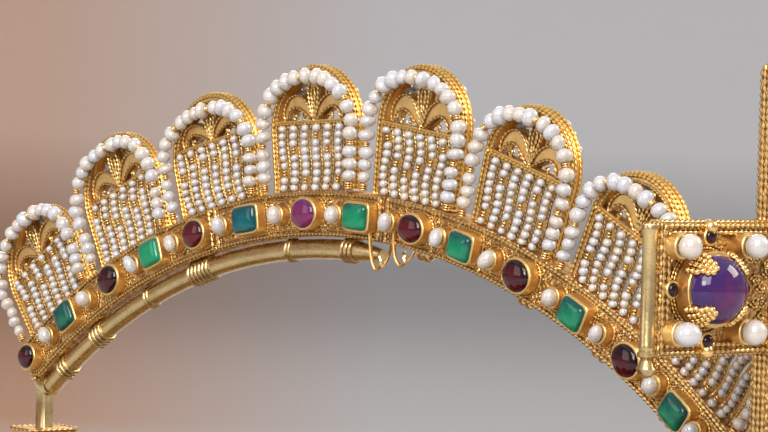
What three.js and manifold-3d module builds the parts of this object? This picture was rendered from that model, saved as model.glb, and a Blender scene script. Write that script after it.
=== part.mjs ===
/*
 * An arched crown of sheet gold: eight round-topped plates hinged on pins
 * form an octagonal circlet, a cross stands in a socket before the front
 * plate, and a narrow jewelled arch of openwork lunettes spans the crown
 * from the front plate to the back plate.
 *
 * Units are millimetres.  +Z is up, the cross faces -Y, the arch lies in the
 * plane X = 0, and the origin is on the floor below the middle of the crown's
 * bounding box.  The sizes below measure Y from the circlet's own middle.
 */
import * as THREE from "three";
import { mergeVertices } from "three/addons/utils/BufferGeometryUtils.js";
import Module from "manifold-3d";

const wasm = await Module();
wasm.setup();

/* ---------------------------------------------------------------- sizes */

const GAP = 0.3; // left between pieces that touch

// Circlet.  Corners are the hinge pins, listed anticlockwise from the front.
const PLATE_THICK = 2.6;
const PLATE_BORDER = 4;
const PLATE_BORDER_RISE = 0.9;
const FRONT_PLATE_HEIGHT = 149;
const PLATE_HEIGHT = 122;
const PIN_RADIUS = 1.7;
const PIN_BALL = 2.5;
const CORNERS = [
  [56, -103],
  [110, -42],
  [110, 43],
  [43.5, 103],
  [-43.5, 103],
  [-110, 43],
  [-110, -42],
  [-56, -103],
];
const PLATE_NAMES = [
  "front_right_plate",
  "right_plate",
  "back_right_plate",
  "back_plate",
  "back_left_plate",
  "left_plate",
  "front_left_plate",
  "front_plate",
];

// Arch.  Angles are degrees about its centre, from the back (+Y) upwards.
const ARCH_Y = 2;
const ARCH_Z = 41;
const BAND_INNER = 144.4;
const BAND_OUTER = 152.9;
const BAND_THICK = 5.4;
const WIRE_WIDTH = 1.2;
const WIRE_RISE = 0.5;
// Each length of band: where it starts and ends, and its row of stones.
const BAND_LENGTHS = [
  { name: "arch_band_back", from: 49.2, to: 75.8, first: 51.2, step: 5.85, stones: 5 },
  { name: "arch_band_middle", from: 75.8, to: 94.8, first: 80.5, step: 6.2, stones: 3 },
  { name: "arch_band_front", from: 94.8, to: 130.6, first: 98.4, step: 5.6, stones: 6 },
];
const STONE_COLLET = 3.1;
const PEARL_COLLET = 2;
const COLLET_RISE = 2.4;

const LUNETTE_THICK = 3.2;
// The middles of the gaps between lunettes, which hold columns of pearls, and
// each lunette's height above the arch's centre.
const LUNETTE_GAPS = [49.6, 60.2, 70.7, 81.4, 91.85, 101.9, 111.75, 121.6, 131.2];
const LUNETTE_TOPS = [176.3, 176.8, 175.2, 176.4, 177.6, 176.7, 176.4, 176.2];
const LUNETTE_CLEAR = 1.1; // degrees from a gap's middle to a lunette
const LUNETTE_BAR = 165.7;
const LUNETTE_SPRING = 165;
const RIM_WIDTH = 1.5;
const SHEET_THICK = 1.2;

const ROD_RADIUS = 1.7;
const ROD_ARC = BAND_INNER - GAP - ROD_RADIUS - 0.4;
const ROD_FROM = 50.4;
const ROD_TO = 97;
const RING_RADIUS = 2.3;
const RING_STEP = 1.5;
const RING_CLUSTERS = [
  { at: 53.2, rings: 3 },
  { at: 58.6, rings: 4 },
  { at: 73, rings: 6 },
  { at: 90.8, rings: 3 },
];

// Posts and sockets that carry the arch's two ends.
const POST = 3;
const BACK_POST_Y = 96;
const FRONT_POST_Y = -90.3;
const POST_BOTTOM = 108;
const SOCKET_WALL = 2;
const SOCKET_BOTTOM = 104;
const BACK_SOCKET_TOP = 141.5;
const BACK_HEAD_BOTTOM = 127;
const FRONT_SOCKET_TOP = 136;

// Cross.  It stands in a socket on the front plate's outer face.
const CROSS_FACE_Y = -114;
const CROSS_THICK = 3.8;
const CROSS_BOTTOM = 119;
const CROSS_TOP = 218;
const CROSS_ARM_Z = 183;
const CROSS_ARM_HALF = 10.2;
const CROSS_SHAFT_HALF = 13.2;
const CROSS_REACH = 38.6;
const CROSS_BORDER = 1.8;
const CROSS_BORDER_RISE = 0.7;
const CROSS_SOCKET_HALF = 8;
const END_ROD_RADIUS = 1.1;
const END_ROD_BALL = 1.5;
// Domed stones on the cross: place on its face, half width, half height.
const CROSS_STONES = [
  { name: "cross_stone_left", kind: "amethyst", x: -28.4, z: 183, across: 5.6, up: 5.2 },
  { name: "cross_stone_right", kind: "amethyst", x: 28.4, z: 183, across: 5.6, up: 5.2 },
  { name: "cross_stone_middle", kind: "amethyst", x: 0, z: 183, across: 8.2, up: 6.6 },
  { name: "cross_stone_top", kind: "emerald", x: 0, z: 206, across: 5.4, up: 6.2 },
  { name: "cross_stone_foot", kind: "garnet", x: 0, z: 156, across: 5.4, up: 6.2 },
  { name: "cross_stone_lowest", kind: "emerald", x: 0, z: 132, across: 5, up: 5 },
];
const STONE_WALL = 3.6;
const STONE_DOME = 3;

/* ------------------------------------------------------------ materials */

const gold = new THREE.MeshStandardMaterial({ color: 0xc8963c, roughness: 0.32, metalness: 1 });
const paleGold = new THREE.MeshStandardMaterial({ color: 0xb99a55, roughness: 0.28, metalness: 1 });
const darkGold = new THREE.MeshStandardMaterial({ color: 0xa97a30, roughness: 0.4, metalness: 1 });
const amethyst = new THREE.MeshStandardMaterial({ color: 0x5b2f86, roughness: 0.1, metalness: 0 });
const emerald = new THREE.MeshStandardMaterial({ color: 0x1b7f55, roughness: 0.1, metalness: 0 });
const garnet = new THREE.MeshStandardMaterial({ color: 0x5a0d18, roughness: 0.1, metalness: 0 });

/* -------------------------------------------------------------- solids */

/** A closed geometry as a solid that can be joined and cut. */
function solid(geometry) {
  const bare = geometry.clone();
  bare.deleteAttribute("normal");
  bare.deleteAttribute("uv");
  const merged = mergeVertices(bare, 1e-5);
  const mesh = new wasm.Mesh({
    numProp: 3,
    vertProperties: new Float32Array(merged.attributes.position.array),
    triVerts: new Uint32Array(merged.index.array),
  });
  return new wasm.Manifold(mesh);
}

/** A solid back as a geometry. */
function geometryOf(manifold) {
  const mesh = manifold.getMesh();
  const geometry = new THREE.BufferGeometry();
  geometry.setAttribute("position", new THREE.BufferAttribute(mesh.vertProperties, 3));
  geometry.setIndex(new THREE.BufferAttribute(mesh.triVerts, 1));
  const flat = geometry.toNonIndexed();
  flat.computeVertexNormals();
  return flat;
}

/** Several closed geometries joined into one. */
function joined(geometries) {
  const [first, ...others] = geometries.map(solid);
  return geometryOf(others.reduce((sum, next) => sum.add(next), first));
}

/** An outline extruded to a thickness that is centred on the outline's plane. */
function slab(shape, thickness, curveSegments = 8) {
  const options = { depth: thickness, bevelEnabled: false, curveSegments };
  return new THREE.ExtrudeGeometry(shape, options).translate(0, 0, -thickness / 2);
}

/** Turns an outline drawn as (Y, Z) so that its thickness runs along X. */
const ARCH_PLANE = new THREE.Matrix4().makeBasis(
  new THREE.Vector3(0, 1, 0),
  new THREE.Vector3(0, 0, 1),
  new THREE.Vector3(1, 0, 0),
);

/** Turns an outline drawn as (X, Z) so that its thickness runs along Y. */
const FRONT_PLANE = new THREE.Matrix4().makeRotationX(Math.PI / 2);

function box(x0, x1, y0, y1, z0, z1) {
  const geometry = new THREE.BoxGeometry(x1 - x0, y1 - y0, z1 - z0);
  return geometry.translate((x0 + x1) / 2, (y0 + y1) / 2, (z0 + z1) / 2);
}

function named(name, geometry, material) {
  const mesh = new THREE.Mesh(geometry, material);
  mesh.name = name;
  return mesh;
}

/* -------------------------------------------------------------- circlet */

/** A plate's outline, inset from its edge: upright sides and a round head. */
function plateOutline(width, height, inset) {
  const half = width / 2 - inset;
  const spring = height - width / 2;
  const shape = new THREE.Shape();
  shape.moveTo(-half, inset);
  shape.lineTo(half, inset);
  shape.absarc(0, spring, half, 0, Math.PI, false);
  shape.closePath();
  return shape;
}

/** A round-topped plate with a raised border on its outer face. */
function plate(width, height) {
  const sheet = slab(plateOutline(width, height, 0), PLATE_THICK, 9);
  const borderShape = plateOutline(width, height, 0);
  borderShape.holes.push(plateOutline(width, height, PLATE_BORDER));
  const border = slab(borderShape, PLATE_BORDER_RISE * 2, 9);
  border.translate(0, 0, PLATE_THICK / 2);
  return joined([sheet, border]).applyMatrix4(FRONT_PLANE);
}

/** A hinge pin with a ball at each end. */
function hingePin(height) {
  const points = [new THREE.Vector2(0, 0)];
  const addBall = (middle, from, to) => {
    for (let angle = from; angle <= to; angle += 45) {
      const turn = THREE.MathUtils.degToRad(angle);
      points.push(new THREE.Vector2(PIN_BALL * Math.sin(turn), middle - PIN_BALL * Math.cos(turn)));
    }
  };
  addBall(PIN_BALL * 0.75, 45, 135);
  points.push(new THREE.Vector2(PIN_RADIUS, PIN_BALL * 2));
  points.push(new THREE.Vector2(PIN_RADIUS, height - PIN_BALL * 2));
  addBall(height - PIN_BALL, 45, 135);
  points.push(new THREE.Vector2(0, height));
  return new THREE.LatheGeometry(points, 6).rotateX(Math.PI / 2);
}

function circlet() {
  const group = new THREE.Group();
  CORNERS.forEach(([x0, y0], i) => {
    const [x1, y1] = CORNERS[(i + 1) % CORNERS.length];
    const isFront = PLATE_NAMES[i] === "front_plate";
    const height = isFront ? FRONT_PLATE_HEIGHT : PLATE_HEIGHT;
    const width = Math.hypot(x1 - x0, y1 - y0) - 2 * (PIN_BALL + GAP);
    const mesh = named(PLATE_NAMES[i], plate(width, height), gold);
    mesh.position.set((x0 + x1) / 2, (y0 + y1) / 2, 0);
    mesh.rotation.z = Math.atan2(y1 - y0, x1 - x0);
    group.add(mesh);
    const pin = named(`hinge_pin_${i + 1}`, hingePin(PLATE_HEIGHT - 46), darkGold);
    pin.position.set(x0, y0, 0);
    group.add(pin);
  });
  return group;
}

/* ----------------------------------------------------------------- arch */

function polar(radius, degrees) {
  const angle = THREE.MathUtils.degToRad(degrees);
  return new THREE.Vector2(radius * Math.cos(angle), radius * Math.sin(angle));
}

/** Points along an arc about the arch's centre. */
function arcPoints(radius, from, to, step = 3) {
  const steps = Math.max(1, Math.ceil(Math.abs(to - from) / step));
  const points = [];
  for (let i = 0; i <= steps; i += 1) points.push(polar(radius, from + ((to - from) * i) / steps));
  return points;
}

/** The outline of a strip between two radii and two angles. */
function ringSector(inner, outer, from, to) {
  return new THREE.Shape([...arcPoints(outer, from, to), ...arcPoints(inner, to, from)]);
}

/** A length of band: its sheet, two edge wires and the collets of its stones. */
function band({ from, to, first, step, stones }) {
  const clear = THREE.MathUtils.radToDeg(GAP / 2 / BAND_INNER);
  const ends = [from + clear, to - clear];
  const wired = BAND_THICK + 2 * WIRE_RISE;
  const pieces = [
    slab(ringSector(BAND_INNER, BAND_OUTER, ...ends), BAND_THICK),
    slab(ringSector(BAND_INNER, BAND_INNER + WIRE_WIDTH, ...ends), wired),
    slab(ringSector(BAND_OUTER - WIRE_WIDTH, BAND_OUTER, ...ends), wired),
  ];
  const middle = (BAND_INNER + BAND_OUTER) / 2;
  const addCollet = (degrees, radius, sides) => {
    const { x, y } = polar(middle, degrees);
    const reach = BAND_THICK + 2 * COLLET_RISE;
    const collet = new THREE.CylinderGeometry(radius, radius, reach, sides);
    pieces.push(collet.rotateX(Math.PI / 2).translate(x, y, 0));
  };
  for (let i = 0; i < stones; i += 1) {
    addCollet(first + step * i, STONE_COLLET, 8);
    const pearl = first + step * (i + 0.5);
    if (pearl < to - 1) addCollet(pearl, PEARL_COLLET, 6);
  }
  return joined(pieces).applyMatrix4(ARCH_PLANE);
}

/**
 * A point of a lunette, from its own axes: across it and along its radius.
 * The middle of its round head lies on its radius.
 */
function lunetteFrame(from, to, top) {
  const axis = polar(1, (from + to) / 2);
  const across = new THREE.Vector2(-axis.y, axis.x);
  const half = LUNETTE_SPRING * Math.sin(THREE.MathUtils.degToRad((to - from) / 2));
  const place = (side, height) => axis.clone().multiplyScalar(height).addScaledVector(across, side);
  return { place, half, centre: top - half };
}

/** The lunette's outline, inset by a width: two sides and a round head. */
function lunetteOutline(from, to, top, inset, foot) {
  const { place, half, centre } = lunetteFrame(from, to, top);
  const radius = half - inset;
  const steps = 12;
  const points = [];
  for (let i = 0; i <= steps; i += 1) {
    const angle = -Math.PI / 2 + (Math.PI * i) / steps;
    points.push(place(radius * Math.sin(angle), centre + radius * Math.cos(angle)));
  }
  const lean = THREE.MathUtils.radToDeg(inset / foot);
  points.push(polar(foot, to - lean), polar(foot, (from + to) / 2), polar(foot, from + lean));
  return points;
}

/** A pointed leaf: two curves from its root to its tip. */
function leaf(place, rootHeight, length, width, lean) {
  const steps = 5;
  const points = [];
  const addPoint = (share, sign) => {
    const bulge = sign * (width / 2) * Math.sin(Math.PI * Math.pow(share, 0.8));
    const along = length * share;
    const curl = lean * share * share * length;
    points.push(place(curl + bulge, rootHeight + along - Math.abs(lean) * 0.45 * share * share * length));
  };
  for (let i = 0; i <= steps; i += 1) addPoint(i / steps, 1);
  for (let i = steps - 1; i > 0; i -= 1) addPoint(i / steps, -1);
  return new THREE.Shape(points);
}

/** A lunette: rim, cross-bar, pierced lower field and a palmette above. */
function lunette(from, to, top) {
  const foot = BAND_OUTER + GAP;
  const rimShape = new THREE.Shape(lunetteOutline(from, to, top, 0, foot));
  rimShape.holes.push(new THREE.Path(lunetteOutline(from, to, top, RIM_WIDTH, foot + RIM_WIDTH)));
  const pieces = [slab(rimShape, LUNETTE_THICK)];

  const { place, half } = lunetteFrame(from, to, top);
  const inner = half - RIM_WIDTH / 2;
  const strip = (x0, z0, x1, z1, width, thickness) => {
    const direction = new THREE.Vector2(x1 - x0, z1 - z0).normalize();
    const across = new THREE.Vector2(-direction.y, direction.x).multiplyScalar(width / 2);
    const corners = [
      place(x0 + across.x, z0 + across.y),
      place(x0 - across.x, z0 - across.y),
      place(x1 - across.x, z1 - across.y),
      place(x1 + across.x, z1 + across.y),
    ];
    pieces.push(slab(new THREE.Shape(corners), thickness));
  };
  strip(-inner, LUNETTE_BAR, inner, LUNETTE_BAR, 1.2, 2.8);
  const low = foot + RIM_WIDTH / 2 - 0.6;
  for (const share of [-0.5, 0, 0.5]) {
    strip(share * inner * 0.93, low, share * inner, LUNETTE_BAR, 1.4, 2.2);
  }
  const room = top - RIM_WIDTH / 2 - LUNETTE_BAR;
  for (const lean of [-0.72, 0, 0.72]) {
    const width = lean === 0 ? 3 : 3.2;
    pieces.push(slab(leaf(place, LUNETTE_BAR - 0.3, room, width, lean), SHEET_THICK));
  }
  return joined(pieces).applyMatrix4(ARCH_PLANE);
}

/** A row of rings on the rod, as one ribbed sleeve along its own +Y. */
function ringSleeve(rings) {
  const waist = ROD_RADIUS + 0.15;
  const start = (-rings * RING_STEP) / 2;
  const points = [new THREE.Vector2(0, start)];
  for (let i = 0; i < rings; i += 1) {
    const low = start + i * RING_STEP;
    if (i === 0) points.push(new THREE.Vector2(waist, low));
    points.push(new THREE.Vector2(RING_RADIUS, low + RING_STEP / 2));
    points.push(new THREE.Vector2(waist, low + RING_STEP));
  }
  points.push(new THREE.Vector2(0, -start));
  return new THREE.LatheGeometry(points, 8);
}

/** The round bow rod below the back half of the band, with its rings. */
function bowRod() {
  const points = arcPoints(ROD_ARC, ROD_FROM, ROD_TO);
  const path = new THREE.CatmullRomCurve3(points.map((p) => new THREE.Vector3(0, p.x, p.y)));
  const section = new THREE.Shape();
  section.absarc(0, 0, ROD_RADIUS, 0, Math.PI * 2, false);
  const pieces = [
    new THREE.ExtrudeGeometry(section, { extrudePath: path, steps: 14, curveSegments: 4 }),
  ];
  for (const { at, rings } of RING_CLUSTERS) {
    const { x, y } = polar(ROD_ARC, at);
    const sleeve = ringSleeve(rings).rotateX(THREE.MathUtils.degToRad(at + 90));
    pieces.push(sleeve.translate(0, x, y));
  }
  return joined(pieces);
}

function arch() {
  const group = new THREE.Group();
  group.position.set(0, ARCH_Y, ARCH_Z);
  for (const length of BAND_LENGTHS) group.add(named(length.name, band(length), gold));
  LUNETTE_TOPS.forEach((top, i) => {
    const from = LUNETTE_GAPS[i] + LUNETTE_CLEAR;
    const to = LUNETTE_GAPS[i + 1] - LUNETTE_CLEAR;
    group.add(named(`lunette_${i + 1}`, lunette(from, to, top), gold));
  });
  group.add(named("arch_rod", bowRod(), paleGold));
  return group;
}

/* --------------------------------------------------- posts and sockets */

/** The height above the floor of the band's underside at a place in Y. */
function bandUnderside(y) {
  return ARCH_Z + Math.sqrt(BAND_INNER ** 2 - (y - ARCH_Y) ** 2);
}

/** A square post standing below one end of the band. */
function post(y) {
  const half = POST / 2;
  const farEdge = y + Math.sign(y) * half;
  const top = bandUnderside(farEdge) - GAP;
  return box(-half, half, y - half, y + half, POST_BOTTOM, top);
}

/** The hole a post drops into, open at the top. */
function postHole(y) {
  const half = POST / 2 + GAP;
  return solid(box(-half, half, y - half, y + half, POST_BOTTOM - GAP, 200));
}

/** A box round a post's hole, reaching the inner face of its plate. */
function socketBody(y, plateY, top) {
  const half = POST / 2 + GAP + SOCKET_WALL;
  const face = plateY - Math.sign(plateY) * (PLATE_THICK / 2 + GAP);
  const inner = y - Math.sign(plateY) * half;
  return box(-half, half, Math.min(face, inner), Math.max(face, inner), SOCKET_BOTTOM, top);
}

/** The back socket: a box on the plate with a moulded head above it. */
function backSocket() {
  const y = BACK_POST_Y;
  const head = (half, deep, z0, z1) => solid(box(-half, half, y - deep, y + deep, z0, z1));
  const body = solid(socketBody(y, CORNERS[3][1], BACK_HEAD_BOTTOM));
  const whole = body
    .add(head(5, 4, BACK_HEAD_BOTTOM, BACK_SOCKET_TOP - 1))
    .add(head(6, 4.6, BACK_HEAD_BOTTOM - 2, BACK_HEAD_BOTTOM))
    .add(head(6, 4.6, BACK_SOCKET_TOP - 3.4, BACK_SOCKET_TOP));
  return geometryOf(whole.subtract(postHole(y)));
}

function frontSocket() {
  const body = solid(socketBody(FRONT_POST_Y, CORNERS[0][1], FRONT_SOCKET_TOP));
  return geometryOf(body.subtract(postHole(FRONT_POST_Y)));
}

/** The block between the front plate and the back of the cross. */
function crossSocket() {
  const plateFace = CORNERS[0][1] - PLATE_THICK / 2 - GAP;
  const crossBack = CROSS_FACE_Y + CROSS_THICK + GAP;
  const top = FRONT_PLATE_HEIGHT - 2 * PLATE_BORDER;
  return box(-CROSS_SOCKET_HALF, CROSS_SOCKET_HALF, crossBack, plateFace, CROSS_BOTTOM, top);
}

/* ---------------------------------------------------------------- cross */

function crossOutline(inset) {
  const shaft = CROSS_SHAFT_HALF - inset;
  const reach = CROSS_REACH - inset;
  const armTop = CROSS_ARM_Z + CROSS_ARM_HALF - inset;
  const armBottom = CROSS_ARM_Z - CROSS_ARM_HALF + inset;
  const right = [
    [shaft, CROSS_BOTTOM + inset],
    [shaft, armBottom],
    [reach, armBottom],
    [reach, armTop],
    [shaft, armTop],
    [shaft, CROSS_TOP - inset],
  ];
  const left = right.map(([x, z]) => [-x, z]).reverse();
  return [...right, ...left].map(([x, z]) => new THREE.Vector2(x, z));
}

/** The cross: a flat body with a raised border round its face. */
function crossBody() {
  const thick = CROSS_THICK - CROSS_BORDER_RISE;
  const back = CROSS_FACE_Y + CROSS_THICK;
  const body = slab(new THREE.Shape(crossOutline(0)), thick);
  body.applyMatrix4(FRONT_PLANE).translate(0, back - thick / 2, 0);
  const borderShape = new THREE.Shape(crossOutline(0));
  borderShape.holes.push(new THREE.Path(crossOutline(CROSS_BORDER)));
  const border = slab(borderShape, CROSS_THICK);
  border.applyMatrix4(FRONT_PLANE).translate(0, back - CROSS_THICK / 2, 0);
  return joined([body, border]);
}

/** A domed stone in its straight-walled collet, standing on the cross's face. */
function crossStone({ x, z, across, up }) {
  const points = [new THREE.Vector2(0, 0), new THREE.Vector2(1, 0)];
  for (let angle = 0; angle < 90; angle += 30) {
    const turn = THREE.MathUtils.degToRad(angle);
    points.push(new THREE.Vector2(Math.cos(turn), STONE_WALL + STONE_DOME * Math.sin(turn)));
  }
  points.push(new THREE.Vector2(0, STONE_WALL + STONE_DOME));
  const face = CROSS_FACE_Y + CROSS_BORDER_RISE - GAP;
  const dome = new THREE.LatheGeometry(points, 8).rotateX(Math.PI);
  return dome.scale(across, 1, up).translate(x, face, z);
}

/** The upright rod at the end of an arm, with a ball below the arm. */
function endRod() {
  const low = CROSS_ARM_Z - CROSS_ARM_HALF - GAP - END_ROD_BALL;
  const rodLength = 2 * CROSS_ARM_HALF + END_ROD_BALL;
  const ball = new THREE.SphereGeometry(END_ROD_BALL, 8, 6).rotateX(Math.PI / 2);
  const rod = new THREE.CylinderGeometry(END_ROD_RADIUS, END_ROD_RADIUS, rodLength, 8);
  rod.rotateX(Math.PI / 2).translate(0, 0, rodLength / 2);
  return joined([ball, rod]).translate(0, CROSS_FACE_Y + CROSS_THICK / 2, low);
}

function crossAndSockets() {
  const group = new THREE.Group();
  group.add(named("back_post", post(BACK_POST_Y), paleGold));
  group.add(named("front_post", post(FRONT_POST_Y), paleGold));
  group.add(named("back_socket", backSocket(), darkGold));
  group.add(named("front_socket", frontSocket(), darkGold));
  group.add(named("cross_socket", crossSocket(), darkGold));
  group.add(named("cross", crossBody(), gold));
  const stones = { amethyst, emerald, garnet };
  for (const stone of CROSS_STONES) {
    group.add(named(stone.name, crossStone(stone), stones[stone.kind]));
  }
  for (const [name, side] of [["cross_rod_left", -1], ["cross_rod_right", 1]]) {
    const rod = named(name, endRod(), paleGold);
    rod.position.x = side * (CROSS_REACH + GAP + END_ROD_RADIUS);
    group.add(rod);
  }
  return group;
}

/* ---------------------------------------------------------------- crown */

const crown = new THREE.Group();
crown.add(circlet(), arch(), crossAndSockets());
const outline = new THREE.Box3().setFromObject(crown);
crown.position.y = -(outline.min.y + outline.max.y) / 2;
export default crown;
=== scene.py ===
"""Arched crown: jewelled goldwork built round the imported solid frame.

Lengths are millimetres, except that the properties, the wires' diameters and
pitches, the pearls' unevenness, the materials and the stage are in metres.
+Z is up, the cross faces -Y and the arch lies in the plane X = 0.
"""

import math
import random

import bmesh
import bpy
import numpy as np
from mathutils import Matrix, Vector


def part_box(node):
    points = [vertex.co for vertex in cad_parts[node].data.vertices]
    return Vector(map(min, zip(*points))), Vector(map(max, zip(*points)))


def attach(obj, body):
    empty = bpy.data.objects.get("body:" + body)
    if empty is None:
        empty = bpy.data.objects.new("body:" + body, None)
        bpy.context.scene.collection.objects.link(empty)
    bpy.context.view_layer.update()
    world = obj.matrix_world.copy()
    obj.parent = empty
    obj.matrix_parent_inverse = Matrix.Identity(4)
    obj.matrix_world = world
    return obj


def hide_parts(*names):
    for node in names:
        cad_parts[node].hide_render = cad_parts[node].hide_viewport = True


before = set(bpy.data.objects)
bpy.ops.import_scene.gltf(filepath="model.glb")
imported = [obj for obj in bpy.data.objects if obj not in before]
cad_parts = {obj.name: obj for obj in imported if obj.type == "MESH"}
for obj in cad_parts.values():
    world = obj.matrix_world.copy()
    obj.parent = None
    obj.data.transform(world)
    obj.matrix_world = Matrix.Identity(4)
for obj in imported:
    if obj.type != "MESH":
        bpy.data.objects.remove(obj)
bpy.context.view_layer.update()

bl_info = {
    "name": "Arched crown",
    "version": (1, 0, 0),
    "blender": (4, 5, 0),
    "location": "3D View > Sidebar > Crown",
    "description": "Jewelled goldwork built round the crown's solid frame",
    "category": "Object",
}

MM = 0.001


def node_box(name):
    """A solid's lowest and highest corner in millimetres."""
    low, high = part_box(name)
    return np.array(low) / MM, np.array(high) / MM


# ------------------------------------------------------- sizes of the frame

SIDES = (-1, 1)
# Half the circlet's depth between its corners.
CIRCLET_HALF = 103
# The circlet's own middle lies this far back from the frame's origin.
BACK = float(sum(corner[1] for corner in node_box("hinge_pin_1")) / 2 + CIRCLET_HALF)

PIN_BALL = 2.5
GAP = 0.3
# The circlet's corners on the floor, from the front right one by the back to the front left.
CORNERS = (
    (56, -CIRCLET_HALF), (110, -42), (110, 43), (43.5, CIRCLET_HALF),
    (-43.5, CIRCLET_HALF), (-110, 43), (-110, -42), (-56, -CIRCLET_HALF),
)
PLATES = ("front_right", "right", "back_right", "back", "back_left", "left", "front_left", "front")
FRONT_PLATE_HEIGHT, PLATE_HEIGHT = 149, 122

ARCH_MIDDLE = np.array([0, 2 + BACK, 41])
BAND_INNER, BAND_OUTER = 144.4, 152.9
BAND_CENTRE = (BAND_INNER + BAND_OUTER) / 2
BAND_HALF = 2.7
# The band's lengths, each from and to an angle. Angles on the arch are degrees from the
# level of its middle at the back, over the top.
BAND_LENGTHS = (("back", 49.2, 75.8), ("middle", 75.8, 94.8), ("front", 94.8, 130.6))
BAND_START = BAND_LENGTHS[0][1]
JOINTS = tuple(stop for _, _, stop in BAND_LENGTHS[:-1])

# Angles between the lunettes, heights of their tops, and levels of their bars and springings;
# heights on the arch are distances from its middle.
LUNETTE_GAPS = (49.6, 60.2, 70.7, 81.4, 91.85, 101.9, 111.75, 121.6, 131.2)
LUNETTE_TOPS = (176.3, 176.8, 175.2, 176.4, 177.6, 176.7, 176.4, 176.2)
LUNETTE_CLEAR = 1.1
# How far below a lunette's top its string of pearls hangs.
STRING_DROPS = (2.1, 2.4, 3.2, 1.9, 2.2, 1.7, 3.0, 2.4)
LUNETTE_FOOT = BAND_OUTER + GAP
LUNETTE_BAR = 165.7
LUNETTE_SPRING = 165
LUNETTE_HALF = 1.6
STROKES = 6

ROD_RADIUS = 1.95
# The rod lies this far to the side of the band's middle plane.
ROD_SHIFT = -0.7
ROD_ARC = 142.0
ROD_ENDS = (50.4, 94.2)
BACK_POST, FRONT_POST = 96.0 + BACK, -90.3 + BACK

CROSS_FACE = float(node_box("cross")[0][1])
CROSS_THICK = 3.8
CROSS_BOTTOM, CROSS_TOP = 119.0, 218.0
CROSS_ARM = 183.0
CROSS_ARM_HALF = 10.2
CROSS_SHAFT_HALF = 13.2
CROSS_REACH = 38.6

# Stones along the band: angle, stone, form, half sizes, lightness.
BAND_STONES = (
    (50.8, "garnet", "oval", 2.6, 2.4, 0.15),
    (56.9, "emerald", "square", 2.9, 2.6, 0.0),
    (63.2, "garnet", "oval", 3.2, 2.8, 0.15),
    (68.9, "emerald", "square", 3.0, 2.6, 1.0),
    (74.3, "garnet", "oval", 3.1, 2.7, 0.6),
    (80.5, "teal_stone", "square", 3.5, 2.6, 0.5),
    (87.1, "amethyst", "oval", 3.3, 2.8, 0.9),
    (92.8, "emerald", "square", 3.3, 2.5, 0.7),
    (98.6, "garnet", "oval", 3.2, 2.6, 0.5),
    (103.8, "emerald", "square", 2.9, 2.5, 0.5),
    (109.6, "garnet", "oval", 3.3, 2.9, 0.3),
    (115.4, "emerald", "square", 2.9, 2.5, 0.45),
    (121.1, "garnet", "oval", 3.2, 2.8, 0.2),
    (126.4, "emerald", "square", 2.9, 2.5, 0.3),
)
BAND_PEARLS = (53.9, 59.7, 66.3, 71.5, 77.4, 83.9, 90.3, 96.0, 101.4, 106.6, 113.1, 118.0, 123.8, 128.3)


# ---------------------------------------------------------------- settings


class CrownSizes(bpy.types.PropertyGroup):
    """Sizes of the jeweller's work on the crown."""

    collet_rise: bpy.props.FloatProperty(
        name="Collet rise", description="Height of a stone's collet above its sheet",
        default=0.0024, unit="LENGTH")
    rim_pearl: bpy.props.FloatProperty(
        name="Rim pearl", description="Diameter of the pearls round a lunette",
        default=0.0031, unit="LENGTH")
    column_pearl: bpy.props.FloatProperty(
        name="Column pearl", description="Diameter of the pearls between lunettes",
        default=0.0028, unit="LENGTH")
    seed_pearl: bpy.props.FloatProperty(
        name="Seed pearl", description="Diameter of the pearls on a lunette's strokes",
        default=0.00158, unit="LENGTH")
    edge_wire: bpy.props.FloatProperty(
        name="Edge wire", description="Diameter of the beaded wire on edges",
        default=0.00095, unit="LENGTH")
    fine_wire: bpy.props.FloatProperty(
        name="Fine wire", description="Diameter of the beaded filigree wire",
        default=0.0006, unit="LENGTH")
    seed: bpy.props.IntProperty(
        name="Seed", description="Start of the pearls' small differences", default=11)


def colour_property(name, description, default):
    """A colour that a user may change."""
    return bpy.props.FloatVectorProperty(
        name=name, description=description, default=default, subtype="COLOR", min=0, max=1)


class CrownColours(bpy.types.PropertyGroup):
    """Colours of the crown's metals, pearls and stones."""

    gold: colour_property("Gold", "Satin gold of sheets and wires", (0.85, 0.565, 0.225))
    # Rim gold is a warmer gold, and brighter than the gold as painted light on the rims.
    lit_rim_gold: colour_property("Rim gold", "Warm gold of the lunettes' rims", (0.98, 0.63, 0.2))
    pale_gold: colour_property("Pale gold", "Polished pale gilt of rods", (0.62, 0.46, 0.22))
    dark_gold: colour_property("Dark gold", "Gold in recesses", (0.37, 0.22, 0.085))
    pearl: colour_property("Pearl", "Body colour of the pearls", (0.51, 0.485, 0.455))
    garnet: colour_property("Garnet", "Dark red stone", (0.008, 0.0, 0.002))
    emerald: colour_property("Emerald", "Green stone", (0.0, 0.055, 0.048))
    teal_stone: colour_property("Teal stone", "Blue-green stone", (0.0, 0.048, 0.06))
    amethyst: colour_property("Amethyst", "Violet stone", (0.035, 0.011, 0.085))


class CrownStage(bpy.types.PropertyGroup):
    """Floor, light and camera."""

    floor: colour_property("Floor", "Pale floor and wall", (0.74, 0.74, 0.75))
    floor_warm: colour_property("Warm floor", "Floor and wall on the left", (0.74, 0.53, 0.41))
    key_power: bpy.props.FloatProperty(
        name="Key light", description="Power of the soft main light in watts", default=30.0)
    fill_power: bpy.props.FloatProperty(
        name="Fill light", description="Power of the soft second light in watts", default=9.0)
    spark_power: bpy.props.FloatProperty(
        name="Small light", description="Power in watts of the small light that glints on pearls",
        default=6.0)
    lens: bpy.props.FloatProperty(
        name="Lens", description="Focal length in millimetres", default=154.7)


# -------------------------------------------------------------- node maths


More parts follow.
